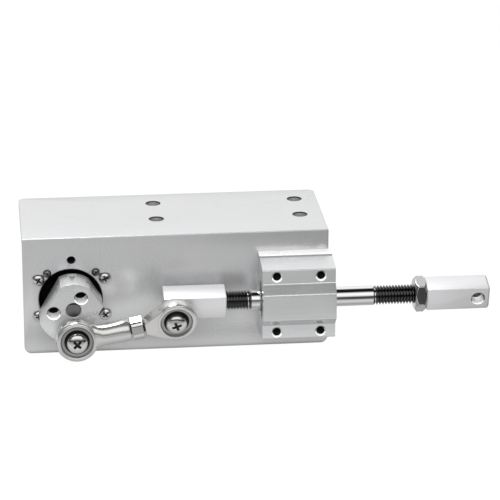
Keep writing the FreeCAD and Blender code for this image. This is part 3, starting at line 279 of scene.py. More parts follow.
def fuse(piece, other):
    """Joins another solid into a piece."""
    apply_modifier(piece, "BOOLEAN", operation="UNION", object=other)
    bpy.data.objects.remove(other)


def common(piece, other):
    """Keeps what a piece shares with another solid."""
    apply_modifier(piece, "BOOLEAN", operation="INTERSECT", object=other)
    bpy.data.objects.remove(other)


def break_edges(piece, width, segments=3, angle=30.0):
    """Rounds every sharp edge by a width in millimetres."""
    apply_modifier(piece, "BEVEL", width=width * MM, segments=segments, limit_method="ANGLE",
                   angle_limit=math.radians(angle), offset_type="OFFSET")


def bevel_edges(piece, wanted, width, segments):
    """Bevels the edges whose two ends, in millimetres, are wanted."""
    edit(piece)
    bpy.ops.mesh.select_mode(type="EDGE")
    bpy.ops.mesh.select_all(action="DESELECT")
    leave_edit()
    for edge in piece.data.edges:
        edge.select = wanted(*[piece.data.vertices[i].co / MM for i in edge.vertices])
    bpy.ops.object.mode_set(mode="EDIT")
    bpy.ops.mesh.bevel(offset=width * MM, segments=segments, affect="EDGES")
    leave_edit()


def round_edges(piece, low, high, radius, lengthways=False, segments=10):
    """Rounds the edges, across or along X, whose ends lie between two corners of a box in Y and Z."""
    def wanted(first, second):
        along = abs(first.x - second.x) > TOUCH
        inside = all(low[0] < end.y < high[0] and low[1] < end.z < high[1] for end in (first, second))
        return inside and along == lengthways

    bevel_edges(piece, wanted, radius, segments)


def chamfer_end(piece, x, width):
    """Chamfers the edges round one end of a bar along X."""
    bevel_edges(piece, lambda first, second: max(abs(first.x - x), abs(second.x - x)) < TOUCH, width, 1)


def smooth(piece, angle=SMOOTH_ANGLE, flat_faces=False):
    """Soft shading over shallow edges only; large flat faces can keep their own direction."""
    pick(piece)
    bpy.ops.object.shade_smooth_by_angle(angle=math.radians(angle))
    if flat_faces:
        apply_modifier(piece, "WEIGHTED_NORMAL", keep_sharp=True)


def drill(name, radius, start, end, axis="Y", mouth=0.0, steps=COARSE, split=None):
    """Cutter for a round hole with a chamfered mouth at its start; a split parts its wall in two."""
    way = 1.0 if end > start else -1.0
    outside = start - OVER * way
    profile = [(0.0, outside)]
    if mouth:
        profile += [(radius + mouth + OVER, outside), (radius, start + mouth * way)]
    else:
        profile += [(radius, outside)]
    if split is not None:
        profile += [(radius, split)]
    profile += [(radius, end), (0.0, end)]
    return lathe(name, profile, axis, steps)


def cross_recess(name, reach, width, depth, top):
    """Cutter for a cross recess along Y whose arms taper towards the bottom, from top inwards."""
    stand, taper = 0.3, 0.45
    half = width / 2.0
    arm = [(reach, -half), (reach, half), (half, half)]
    corners = []
    for _ in range(4):
        corners += arm
        arm = [(-z, x) for x, z in arm]
    piece = trace(name, [(x, top - stand, z) for x, z in corners])
    bpy.ops.mesh.edge_face_add()
    way = Vector((0.0, depth + stand, 0.0)) * MM
    bpy.ops.mesh.extrude_region_move(TRANSFORM_OT_translate={"value": way})
    bpy.ops.transform.resize(value=(taper, 1.0, taper), center_override=(0.0, 0.0, 0.0))
    close_up()
    return piece


def hexagon_bar(name, flat, start, end, axis="X"):
    """Hexagon bar of half width across flats, along X or Y."""
    corners = arc(flat / math.cos(math.radians(30)), 30, 330, 5)
    if axis == "X":
        return prism(name, [(start, y, z) for y, z in corners], (end - start, 0.0, 0.0))
    return prism(name, [(x, start, z) for x, z in corners], (0.0, end - start, 0.0))


def thread(name, size, start, end):
    """Threaded bar along X from start to end."""
    crest, root, pitch = size
    turns = math.ceil((end - start) / pitch) + 2
    flank = ((0.0, root), (0.10, root), (0.46, crest), (0.60, crest), (1.0, root))
    piece = trace(name, [(start - pitch + pitch * share, 0.0, radius) for share, radius in flank])
    leave_edit()
    apply_modifier(piece, "SCREW", axis="X", screw_offset=pitch * MM, iterations=turns, steps=THREAD_STEPS,
                   render_steps=THREAD_STEPS, angle=2.0 * math.pi, use_merge_vertices=True,
                   merge_threshold=TURN_WELD * MM)
    edit(piece)
    bpy.ops.mesh.remove_doubles(threshold=THREAD_WELD * MM)
    bpy.ops.mesh.bisect(plane_co=(start * MM, 0.0, 0.0), plane_no=(1.0, 0.0, 0.0), clear_inner=True)
    bpy.ops.mesh.select_all(action="SELECT")
    bpy.ops.mesh.bisect(plane_co=(end * MM, 0.0, 0.0), plane_no=(1.0, 0.0, 0.0), clear_outer=True)
    bpy.ops.mesh.select_all(action="SELECT")
    bpy.ops.mesh.remove_doubles(threshold=THREAD_WELD * MM)
    bpy.ops.mesh.fill_holes(sides=0)
    close_up()
    return piece


def finish(piece, body, material, slot, *nodes):
    """A finished piece: its material, the body it rides on and the solids it stands for; its slot is not
    used.
    """
    piece.data.materials.append(material)
    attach(piece, body)
    if nodes:
        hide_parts(*nodes)


def paint_light_and_shade_in_hole(piece, place, way, reach, depth, mouth, inside, bare=0.0):
    """Paints light and shade into a round hole: the lower wall down to a depth takes one finish, the rest of
    the wall another.

    The upper wall keeps the finish of the piece as far in as it is bare.
    """
    facing_in, facing_up = 0.3, 0.15
    finishes = piece.data.materials
    for material in (mouth, inside):
        if material.name not in finishes:
            finishes.append(material)
    line = Vector(way)
    for face in piece.data.polygons:
        offset = face.center / MM - Vector(place)
        along = offset.dot(line)
        across = offset - line * along
        if across.length < reach and face.normal.dot(across) < -facing_in * across.length:
            lit = along < depth and face.normal.z > facing_up
            if lit or along > bare:
                face.material_index = finishes.find((mouth if lit else inside).name)


# Finishes

def compute(tree, operation, *values):
    """Result of a maths node; each value is a socket or a number."""
    node = tree.nodes.new("ShaderNodeMath")
    node.operation = operation
    for entry, value in zip(node.inputs, values):
        if isinstance(value, float):
            entry.default_value = value
        else:
            tree.links.new(value, entry)
    return node.outputs[0]


def remap(tree, socket, span, low=0.0, high=1.0, soft=False):
    """Value that passes from low to high over a span of a socket, evenly or softly."""
    node = tree.nodes.new("ShaderNodeMapRange")
    if soft:
        node.interpolation_type = "SMOOTHSTEP"
    node.inputs["From Min"].default_value = span[0]
    node.inputs["From Max"].default_value = span[1]
    node.inputs["To Min"].default_value = low
    node.inputs["To Max"].default_value = high
    tree.links.new(socket, node.inputs["Value"])
    return node.outputs["Result"]


def noise(tree, socket, scale, detail):
    """Noise of a scale and detail at the places of a socket."""
    node = tree.nodes.new("ShaderNodeTexNoise")
    node.inputs["Scale"].default_value = scale
    node.inputs["Detail"].default_value = detail
    tree.links.new(socket, node.inputs["Vector"])
    return node


def metal_finish(name, colour, rough, grain=1500.0, stretch=(1.0, 1.0, 1.0), tone=0.08, relief=0.1,
                 depth=0.02, mottle=60.0, metal=1.0):
    """Bare or plated metal: tone and gloss vary with a fine grain, which also stands up a little.

    A blasted or milled skin scatters part of the light, so it is less than full metal.
    """
    span = (0.3, 0.7)
    material = bpy.data.materials.new(name)
    material.use_nodes = True
    tree = material.node_tree
    shader = tree.nodes["Principled BSDF"]
    shader.inputs["Metallic"].default_value = metal
    place = tree.nodes.new("ShaderNodeTexCoord")
    lay = tree.nodes.new("ShaderNodeMapping")
    lay.inputs["Scale"].default_value = stretch
    tree.links.new(place.outputs["Object"], lay.inputs["Vector"])
    fine = noise(tree, lay.outputs["Vector"], grain, 4.0)
    fine.inputs["Roughness"].default_value = 0.65
    broad = noise(tree, place.outputs["Object"], mottle, 2.0)
    half = compute(tree, "MULTIPLY", broad.outputs["Fac"], 0.5)
    blend = compute(tree, "MULTIPLY_ADD", fine.outputs["Fac"], 0.5, half)
    tones = tree.nodes.new("ShaderNodeValToRGB")
    for stop, position, share in zip(tones.color_ramp.elements, span, (1.0 - tone, 1.0 + tone)):
        stop.position = position
        stop.color = [min(1.0, value * share) for value in colour] + [1.0]
    tree.links.new(blend, tones.inputs["Fac"])
    tree.links.new(tones.outputs["Color"], shader.inputs["Base Color"])
    tree.links.new(remap(tree, blend, span, rough[0], rough[1]), shader.inputs["Roughness"])
    bump = tree.nodes.new("ShaderNodeBump")
    bump.inputs["Strength"].default_value = relief
    bump.inputs["Distance"].default_value = depth * MM
    tree.links.new(fine.outputs["Fac"], bump.inputs["Height"])
    tree.links.new(bump.outputs["Normal"], shader.inputs["Normal"])
    return material


def moulded_finish(name, colour, rough):
    """Moulded plastic or rubber with a fine spark-eroded grain."""
    return metal_finish(name, colour, rough, 1800.0, tone=0.15, relief=0.25, depth=0.03, metal=0.0)


ANODISED = metal_finish("satin_anodised", (0.63, 0.633, 0.64), (0.25, 0.31), 3500.0, tone=0.03, relief=0.12,
                        depth=0.01, mottle=25.0, metal=0.75)
EXTRUDED = metal_finish("extruded_aluminium", (0.62, 0.625, 0.63), (0.20, 0.30), 900.0, (0.02, 1.0, 1.0),
                        tone=0.07, relief=0.25, depth=0.015, metal=0.75)
MILLED = metal_finish("milled_aluminium", (0.66, 0.66, 0.67), (0.34, 0.44), stretch=(0.05, 1.0, 1.0),
                      tone=0.04, depth=0.01, metal=0.6)
TURNED = metal_finish("turned_aluminium", (0.65, 0.655, 0.66), (0.26, 0.29), 350.0, tone=0.02, relief=0.02,
                      depth=0.004, metal=0.72)
CHROME = metal_finish("chromed_rod", (0.82, 0.82, 0.83), (0.02, 0.05), 2500.0, (1.0, 0.3, 0.3), tone=0.02,
                      relief=0.03, depth=0.004)
DARK_THREAD = metal_finish("dark_thread", (0.16, 0.16, 0.165), (0.10, 0.20), 1200.0, tone=0.25, depth=0.01)
ZINC = metal_finish("zinc_plated", (0.58, 0.58, 0.59), (0.16, 0.22), 1600.0, tone=0.06, relief=0.06,
                    depth=0.01)
# Black oxide of the small screws; it also darkens the rod ends' balls as painted shade round the screw heads
BLACK_OXIDE_AND_BALL_SHADE = metal_finish("black_oxide", (0.035, 0.035, 0.04), (0.25, 0.4), tone=0.2, relief=0.15,
                           depth=0.01)
NICKEL = metal_finish("nickel_plated", (0.62, 0.615, 0.60), (0.10, 0.14), 900.0, tone=0.04, relief=0.05,
                      depth=0.01, metal=0.85)
BRIGHT_SCREW = metal_finish("bright_screw", (0.74, 0.735, 0.72), (0.10, 0.16), 900.0, tone=0.04, relief=0.05,
                            depth=0.01)
DARK_STEEL = metal_finish("dark_steel", (0.22, 0.22, 0.23), (0.12, 0.20), tone=0.1)
# Painted light: near white for the lit lower walls of holes in the blocks and for the bearing block's lip
PAINTED_LIGHT = metal_finish("painted_light", (0.88, 0.88, 0.88), (0.22, 0.30), tone=0.04, metal=0.3)
# Painted light: white for the lit lower walls of the crank's stroke holes
PAINTED_BRIGHT_LIGHT = metal_finish("painted_bright_light", (0.97, 0.97, 0.97), (0.30, 0.40), tone=0.03, metal=0.0)
# Painted shade: dark grey for the floors of the bearing block's side grooves
PAINTED_GROOVE_SHADE = metal_finish("painted_groove_shade", (0.24, 0.24, 0.245), (0.25, 0.40), tone=0.1, metal=0.6)
# Painted shade: dark grey for the walls of the flange holes, standing in for the dark they mirror
PAINTED_WALL_SHADE = metal_finish("painted_wall_shade", (0.38, 0.38, 0.385), (0.25, 0.40), tone=0.1, metal=0.6)
# Painted shade: near black for the depths of holes, the dark mouths of the flange holes and the screws' cross
# recesses
PAINTED_SHADE = metal_finish("painted_shade", (0.03, 0.03, 0.032), (0.35, 0.50), tone=0.2, metal=0.5)
OILED_BRONZE = metal_finish("oiled_bronze", (0.10, 0.07, 0.045), (0.30, 0.45), tone=0.15)
BEARING_STEEL = metal_finish("bearing_steel", (0.36, 0.36, 0.365), (0.12, 0.22), stretch=(1.0, 0.2, 1.0),
                             tone=0.06)
SHAFT_STEEL = metal_finish("shaft_steel", (0.30, 0.30, 0.31), (0.25, 0.36), 1800.0, tone=0.10)
BRONZE = metal_finish("bronze", (0.55, 0.38, 0.20), (0.28, 0.42), tone=0.12)
BRASS = metal_finish("brass_tags", (0.78, 0.60, 0.28), (0.2, 0.3))
CAST_ZINC = metal_finish("cast_zinc", (0.50, 0.51, 0.52), (0.40, 0.52), 1300.0, relief=0.3, depth=0.03)
MOTOR_STEEL = metal_finish("motor_steel", (0.58, 0.58, 0.59), (0.22, 0.34), 900.0, (1.0, 0.03, 1.0),
                           tone=0.06)
GEAR_STEEL = metal_finish("gear_steel", (0.42, 0.42, 0.43), (0.25, 0.38), 1300.0)
LAMINATIONS = metal_finish("core_laminations", (0.28, 0.28, 0.29), (0.35, 0.5), 2500.0, (0.02, 1.0, 0.02),
                           tone=0.2)
COPPER = metal_finish("copper", (0.72, 0.36, 0.20), (0.22, 0.36), 2200.0, (1.0, 0.1, 1.0), tone=0.15,
                      relief=0.3)
FERRITE = metal_finish("ferrite", (0.07, 0.07, 0.075), (0.55, 0.7), tone=0.15)
CARBON = metal_finish("carbon", (0.04, 0.04, 0.04), (0.5, 0.7), tone=0.2)
# Near black for the gearbox's front plate: painted shade for the plate seen deep in the opening behind the
# crank
SHADE_BLACK = metal_finish("black_paint", (0.008, 0.008, 0.009), (0.4, 0.55), 900.0, tone=0.2, relief=0.25,
                           depth=0.03)
RESIN = moulded_finish("resin", (0.06, 0.06, 0.065), (0.4, 0.55))
RUBBER = moulded_finish("rubber", (0.02, 0.02, 0.02), (0.5, 0.7))
BLACK_PLASTIC = moulded_finish("black_plastic", (0.025, 0.025, 0.027), (0.38, 0.52))

SLOT_FINISH = {
    "satin_anodised": ANODISED,
    "extruded_aluminium": EXTRUDED,
    "milled_aluminium": MILLED,
    "chromed_rod": CHROME,
    "zinc_plated": ZINC,
    "black_oxide": BLACK_OXIDE_AND_BALL_SHADE,
    "nickel_plated": NICKEL,
    "bearing_steel": BEARING_STEEL,
    "bronze": BRONZE,
    "brass_tags": BRASS,
    "gear_steel": GEAR_STEEL,
    "core_laminations": LAMINATIONS,
    "copper": COPPER,
    "ferrite": FERRITE,
    "carbon": CARBON,
    "black_paint": SHADE_BLACK,
    "resin": RESIN,
    "rubber": RUBBER,
    "cast_zinc": CAST_ZINC,
    "motor_steel": MOTOR_STEEL,
    "black_plastic": BLACK_PLASTIC,
}


def dress_solids():
    """Every solid of the source gets the finish of its slot."""
    for subpart in frame["record"]["subparts"]:
        for place in NODES[subpart["node"]].material_slots:
            place.material = SLOT_FINISH[subpart["material_slot"]]


# Pieces

def around(radius, angle, y=0.0):
    """Place on a circle round the motor shaft."""
    turn = math.radians(angle)
    return (SHAFT_X + radius * math.cos(turn), y, AXIS_HEIGHT + radius * math.sin(turn))


def make_bracket():
    """Angle with rounded free corners, flange holes and the plate's holes."""
    left, length, flange_back = -86.3, 125.8, 22.0
    plate_corner, flange_corner = 3.0, 2.5
    flange_hole, opening_radius, motor_hole = 2.75, 13.1, 1.6
    through = PLATE_BACK + PAST
    corners = [(PLATE_FRONT, PLATE_FOOT), (PLATE_BACK, PLATE_FOOT), (PLATE_BACK, FLANGE_UNDER),
               (flange_back, FLANGE_UNDER), (flange_back, 0.0), (PLATE_FRONT, 0.0)]
    piece = prism("angle_bracket_skin", [(left, y, z) for y, z in corners], (length, 0.0, 0.0))
    round_edges(piece, (PLATE_FRONT - PAST, PLATE_FOOT - PAST), (PLATE_BACK + PAST, PLATE_FOOT + PAST),
                plate_corner)
    round_edges(piece, (flange_back - PAST, FLANGE_UNDER - PAST), (flange_back + PAST, PAST), flange_corner)
    break_edges(piece, 0.4)
    cut_row(piece, drill("flange_hole", flange_hole, 0.0, FLANGE_UNDER - PAST, "Y", 0.45), FLANGE_HOLES, 90.0)
    opening = drill("motor_opening", opening_radius, PLATE_FRONT, through, "Y", 0.3, 128)
    cut(piece, settle(opening, (SHAFT_X - 0.5, 0.0, AXIS_HEIGHT - 1.2)))
    angles = MOTOR_SCREW_ANGLES + (SPARE_SCREW_ANGLE,)
    cut_row(piece, drill("motor_hole", motor_hole, PLATE_FRONT, through, "Y", 0.25),
            [around(MOTOR_SCREW_CIRCLE, angle) for angle in angles])
    cut_row(piece, drill("gearbox_hole", GEARBOX_HOLE_RADIUS, PLATE_FRONT, through, "Y", 0.1),
            [around(GEARBOX_SCREW_CIRCLE, angle) for angle in GEARBOX_SCREW_ANGLES])
    cut_row(piece, drill("block_screw_hole", BLOCK_TAPPING_RADIUS, PLATE_FRONT, through),
            [(x, 0.0, z) for x, z in BLOCK_HOLES])
    smooth(piece)
    finish(piece, "bracket", ANODISED, "satin_anodised", "angle_bracket")
    # Painted shade: dark mouths and darker walls in the flange holes, near black inside the spare motor hole
    for place in FLANGE_HOLES:
        paint_light_and_shade_in_hole(piece, place, (0.0, 0.0, -1.0), flange_hole + 0.85, 0.5, PAINTED_SHADE, PAINTED_WALL_SHADE)
    spare = around(MOTOR_SCREW_CIRCLE, SPARE_SCREW_ANGLE, PLATE_FRONT)
    paint_light_and_shade_in_hole(piece, spare, (0.0, 1.0, 0.0), motor_hole + 0.6, 0.3, ANODISED, PAINTED_SHADE)


def make_bearing_block():
    """Extruded block with grooved sides, wings and a raised ridge; tapped holes through the wings."""
    length, half_height, wing_depth, ridge_depth = 30.0, 17.0, 18.0, 22.0
    groove_back, groove_front, groove_floor, inset = -5.8, -7.4, 16.2, 0.1
    upper = [(0.0, half_height), (groove_back, half_height), (groove_back - 0.4, groove_floor),
             (groove_front + 0.4, groove_floor), (groove_front, 16.72), (-wing_depth, 14.85),
             (-wing_depth, 9.0), (-ridge_depth, 5.4)]
    lower = [(y, -z) for y, z in reversed(upper)]
    left, right = BLOCK_X - length / 2.0, BLOCK_X + length / 2.0
    outline = [(left, PLATE_FRONT + y, AXIS_HEIGHT + z) for y, z in upper + lower]
    piece = prism("bearing_block_skin", outline, (length, 0.0, 0.0))
    wing, ridge = PLATE_FRONT - wing_depth, PLATE_FRONT - ridge_depth
    round_edges(piece, (ridge - OVER, PLATE_FOOT), (wing + OVER, -1.0), 0.4, True, 4)
    break_edges(piece, 0.15)
    bore, bore_mouth = 7.55, 8.35
    cutter = lathe("bearing_bore", [(0.0, left - PAST), (bore_mouth, left - PAST), (bore, left + 0.4),
                                    (bore, right - 0.4), (bore_mouth, right + PAST),
                                    (0.0, right + PAST)], "X")
    cut(piece, settle(cutter, (0.0, ROD_Y, AXIS_HEIGHT)))
    core, mouth, core_end = 1.7, 0.6, PLATE_FRONT - 10.5
    hole = lathe("tapped_hole", [(0.0, wing - OVER), (core + mouth + OVER, wing - OVER), (core, wing + mouth),
                                 (core, core_end), (BLOCK_TAPPING_RADIUS, core_end),
                                 (BLOCK_TAPPING_RADIUS, PLATE_FRONT + PAST), (0.0, PLATE_FRONT + PAST)],
                 steps=COARSE)
    cut_row(piece, hole, [(x, 0.0, z) for x, z in BLOCK_HOLES])
    smooth(piece, flat_faces=True)
    finish(piece, "bracket", EXTRUDED, "extruded_aluminium", "bearing_block")
    # Painted light on the lower mouths of the tapped holes, painted shade in their depths
    for x, z in BLOCK_HOLES:
        paint_light_and_shade_in_hole(piece, (x, wing, z), (0.0, 1.0, 0.0), core + 1.0, mouth, PAINTED_LIGHT, PAINTED_SHADE, mouth)
    # Painted shade on the side grooves' floors, painted light on the lip's top and bottom behind the grooves
    piece.data.materials.append(PAINTED_GROOVE_SHADE)
    for face in piece.data.polygons:
        spot = face.center / MM
        depth, height = spot.y - PLATE_FRONT, abs(spot.z - AXIS_HEIGHT)
        if groove_front + inset < depth < groove_back - inset and abs(height - groove_floor) < 0.6:
            face.material_index = piece.data.materials.find(PAINTED_GROOVE_SHADE.name)
        elif depth > groove_back - inset and height > half_height - inset:
            face.material_index = piece.data.materials.find(PAINTED_LIGHT.name)


def make_crank():
    """Crank with a turned top, three milled flats, a round lobe, stroke holes and the set screw's hole."""
    top_radius, lobe_radius, depth = 11.2, 14.6, 13.2
    right, left, low = (10.6, 33.5), (9.5, 150.0), (9.9, -29.0)
    shaft_bore, stroke_hole, lit_depth, screw_hole, screw_y = 3.08, 2.5, 7.0, 1.5, -6.5

    def corner(radius, flat, side):
        """Angle at which a circle meets a flat of a distance and direction."""
        return flat[1] + side * math.degrees(math.acos(flat[0] / radius))

    top = arc(top_radius, corner(top_radius, right, 1), corner(top_radius, left, -1), 24)
    lobe = arc(lobe_radius, corner(lobe_radius, left, 1) - 360.0, corner(lobe_radius, low, -1), 36)
    up, down = math.radians(right[1]), math.radians(low[1])
    spread = math.sin(up - down)
    meet = ((low[0] * math.sin(up) - right[0] * math.sin(down)) / spread,
            (right[0] * math.cos(down) - low[0] * math.cos(up)) / spread)
    front, back = -CRANK_HEIGHT, -2.0
    piece = prism("crank_skin", [(x, front, z) for x, z in top + lobe + [meet]], (0.0, depth, 0.0))
    break_edges(piece, 0.12, 2, 20.0)
    cut(piece, drill("shaft_bore", shaft_bore, front, back, "Y", 0.25, MEDIUM))
    turns = [(throw, math.radians(angle)) for throw, angle in STROKE_HOLES]
    cut_row(piece, drill("stroke_hole", stroke_hole, front, back, "Y", 0.3, MEDIUM, front + lit_depth),
            [(throw * math.cos(turn), 0.0, throw * math.sin(turn)) for throw, turn in turns])
    cutter = drill("set_screw_hole", screw_hole, top_radius, 2.0, "Y", 0.25)
    cut(piece, settle(cutter, (0.0, screw_y, 0.0), roll=90.0))
    settle(piece, (SHAFT_X, PLATE_FRONT, AXIS_HEIGHT))
    smooth(piece)
    finish(piece, "crank", TURNED, "milled_aluminium", "crank")
    # Painted light on the lower walls of the stroke holes, painted shade on the rest of their walls
    for throw, angle in STROKE_HOLES:
        place = around(throw, angle, PLATE_FRONT + front)
        paint_light_and_shade_in_hole(piece, place, (0.0, 1.0, 0.0), stroke_hole + 0.6, lit_depth, PAINTED_BRIGHT_LIGHT, PAINTED_SHADE)
    grub = lathe("crank_grub", [(0.0, -5.0), (1.2, -5.0), (1.45, -4.7), (1.45, -0.3), (1.2, 0.0), (0.0, 0.0)])
    cut(grub, hexagon_bar("grub_socket", 0.75, -6.0, -2.8, "Y"))
    settle(grub, (SHAFT_X, PLATE_FRONT + screw_y, AXIS_HEIGHT + 2.55), roll=-90.0)
    smooth(grub)
    finish(grub, "crank", BLACK_OXIDE_AND_BALL_SHADE, "black_oxide", "crank_set_screw")


def make_output_shaft():
    """Shaft end flush with the crank, its flat upwards."""
    radius, bevel, inner_end = 3.0, 0.25, 13.5
    flat_height, flat_length, reach = 2.5, 15.0, 4.0
    front = -CRANK_HEIGHT
    piece = lathe("output_shaft_bar", [(0.0, front), (radius - bevel, front), (radius, front + bevel),
                                       (radius, inner_end), (0.0, inner_end)])
    corners = [(-reach, flat_height), (reach, flat_height), (reach, reach), (-reach, reach)]
    outline = [(x, front - PAST, z) for x, z in corners]
    cut(piece, prism("shaft_flat", outline, (0.0, flat_length + PAST, 0.0)))
    settle(piece, (SHAFT_X, PLATE_FRONT, AXIS_HEIGHT))
    smooth(piece)
    finish(piece, "crank", SHAFT_STEEL, "bearing_steel", "output_shaft")


def make_square_block(name, node, start, end, socket, pin_x, pin_radius, chamfer):
    """Square bar on the rod with a cross hole, a socket for the rod and a chamfered right end."""
    half, socket_radius, mouth = 5.0, 3.98, 0.3
    corners = [(-half, -half), (half, -half), (half, half), (-half, half)]
    piece = prism(name, [(start, y, z) for y, z in corners], (end - start, 0.0, 0.0))
    chamfer_end(piece, end, chamfer)
    break_edges(piece, 0.25, 3, 50.0)
    cut(piece, drill("rod_socket", socket_radius, socket[0], socket[1], "X", mouth, MEDIUM))
    outside, wide, lit_end = half + OVER, pin_radius + mouth + OVER, -0.25
    hole = lathe("cross_hole", [(0.0, -outside), (wide, -outside), (pin_radius, mouth - half),
                                (pin_radius, lit_end), (pin_radius, half - mouth), (wide, outside),
                                (0.0, outside)], steps=MEDIUM)
    cut(piece, settle(hole, (pin_x, 0.0, 0.0)))
    settle(piece, (0.0, ROD_Y, AXIS_HEIGHT), roll=SLIDER_ROLL)
    smooth(piece)
    finish(piece, "slider", MILLED, "milled_aluminium", node)
    # Painted light on the lower wall of the cross hole's front half, painted shade on the rest of its wall
    roll = math.radians(SLIDER_ROLL)
    inwards = Vector((0.0, math.cos(roll), math.sin(roll)))
    front = Vector((pin_x, ROD_Y, AXIS_HEIGHT)) - half * inwards
    paint_light_and_shade_in_hole(piece, front, inwards, pin_radius + 0.6, half, PAINTED_LIGHT, PAINTED_SHADE)


def make_rod_blocks():
    """Drive block on the rod's left end and end block on its right end."""
    left, right, hole_x = -4.2, LOCK_NUT_X[1], 99.5
    make_square_block("drive_block_bar", "drive_block", -29.8, left, (left, -18.1), PIN_X, 2.52, 0.3)
    make_square_block("end_block_bar", "end_block", right, 104.3, (right, 93.1), hole_x, 2.6, 0.7)


def make_guide_rod():
    """Chromed rod between its two dark threads."""
    left, right, radius = 4.8, 57.8, 4.0
    shoulder = [(0.0, 0.0), (3.2, 0.0), (3.3, 0.8), (radius, 1.4)]
    profile = [(reach, left + along) for reach, along in shoulder]
    profile += [(reach, right - along) for reach, along in reversed(shoulder)]
    shank = lathe("guide_rod_shank", profile, "X")
    settle(shank, (0.0, ROD_Y, AXIS_HEIGHT))
    smooth(shank, 25.0)
    finish(shank, "slider", CHROME, "chromed_rod", "guide_rod")
    for name, start, end in (("rod_thread_left", -17.9, 5.7), ("rod_thread_right", 56.9, 92.9)):
        piece = thread(name, ROD_THREAD, start, end)
        settle(piece, (0.0, ROD_Y, AXIS_HEIGHT))
        smooth(piece, SOFT_ANGLE)
        finish(piece, "slider", DARK_THREAD, "chromed_rod")


def make_nut(name, start, end, flat, bore, turned, steep, rounding=0.0):
    """Hexagon nut along X with turned-off corners, rounded or broken edges and a countersunk bore."""
    margin, reach = 0.3, flat * 2.0
    piece = hexagon_bar(name, flat, start, end)
    if rounding:
        round_edges(piece, (-reach, -reach), (reach, reach), rounding, True, 6)
    corner = flat / math.cos(math.radians(30)) + margin
    inner = flat * turned
    slope = (corner - inner) * steep
    tip = inner - margin / steep
    bevels = lathe("nut_bevels", [(0.0, start - margin), (tip, start - margin), (corner, start + slope),
                                  (corner, end - slope), (tip, end + margin), (0.0, end + margin)], "X")
    common(piece, bevels)
    if not rounding:
        break_edges(piece, 0.3, 3, 20.0)
    cut(piece, drill("nut_bore", bore, start, end + PAST, "X", 0.5, MEDIUM))
    return piece


def make_nuts():
    """Lock nut on the rod and jam nut between the rod ends."""
    lock = make_nut("lock_nut_hexagon", *LOCK_NUT_X, flat=6.5, bore=ROD_THREAD[0], turned=0.93, steep=0.9)
    settle(lock, (0.0, ROD_Y, AXIS_HEIGHT), roll=-12.0)
    smooth(lock, flat_faces=True)
    finish(lock, "slider", ZINC, "zinc_plated", "lock_nut")
    jam = make_nut("jam_nut_hexagon", 22.6, 27.2, flat=4.7, bore=2.5, turned=1.02, steep=0.577, rounding=1.3)
    settle(jam, BIG_END, tilt=LINK_TILT, roll=-6.0)
    smooth(jam)
    finish(jam, "connecting_rod", BRIGHT_SCREW, "nickel_plated", "jam_nut")


def rod_end_eye(name, crown):
    """Solid eye of a rod end: its rim is crowned to an angle and has rounded corners to both faces."""
    eye_radius, rim_half, corner_width, dish, last = 8.75, 2.3, 0.7, 0.1, 85.0
    half = rim_half + corner_width + dish
    side = math.radians(crown)
    bow = rim_half / math.sin(side)
    corner = corner_width / (math.sin(math.radians(last)) - math.sin(side))
    rim = arc(bow, -crown, crown, 10, (eye_radius - bow, 0.0))
    middle = (rim[-1][0] - corner * math.cos(side), rim[-1][1] - corner * math.sin(side))
    back = arc(corner, crown, last, 8, middle)
    back += [(back[-1][0] - dish, half), (0.0, half)]
    front = [(radius, -y) for radius, y in reversed(back)]
    return lathe(name, front + rim[1:-1] + back)


def open_eye(piece):
    """Cuts the seat of the race with its bevelled lips."""
    front = [(0.0, -3.6), (7.05, -3.6), (6.95, -3.1), (6.62, -2.9), (6.25, -2.0)]
    cut(piece, lathe("eye_seat", front + [(radius, -y) for radius, y in reversed(front)]))


def squeeze_ring(piece, x, half):
    """Narrows the ring of a bar turned about X to a half width in Y."""
    edit(piece)
    bpy.ops.mesh.select_mode(type="VERT")
    bpy.ops.mesh.select_all(action="DESELECT")
    leave_edit()
    reach = 0.0
    for corner in piece.data.vertices:
        corner.select = abs(corner.co.x / MM - x) < TOUCH
        if corner.select:
            reach = max(reach, abs(corner.co.y / MM))
    bpy.ops.object.mode_set(mode="EDIT")
    bpy.ops.transform.resize(value=(1.0, half / reach, 1.0), center_override=(0.0, 0.0, 0.0))
    leave_edit()


def make_big_rod_end():
    """Rod end whose eye flows into a barrel; each ring of its neck has a place, a radius and a half width."""
    neck = ((3.5, 6.9, 2.6), (4.9, 6.5, 2.65), (6.1, 5.95, 2.75), (7.3, 5.4, 2.95), (8.5, 4.9, 3.4),
            (9.7, 4.58, 3.9), (11.0, 4.45, 4.3))
    end = 21.9
    profile = [(0.0, neck[0][0])] + [(radius, x) for x, radius, half in neck]
    profile += [(4.42, 13.0), (4.55, 16.0), (4.65, 18.0), (4.65, end - 0.4), (4.35, end), (0.0, end)]
    piece = rod_end_eye("big_rod_end_body", 22.0)
    barrel = lathe("barrel", profile, "X")
    for x, radius, half in neck:
        squeeze_ring(barrel, x, half)
    fuse(piece, barrel)
    cut(piece, drill("barrel_bore", 2.5, end, 11.5, "X", 0.3))
    open_eye(piece)
    settle(piece, BIG_END, tilt=LINK_TILT)
    smooth(piece, SOFT_ANGLE)
    finish(piece, "connecting_rod", NICKEL, "nickel_plated", "big_rod_end")


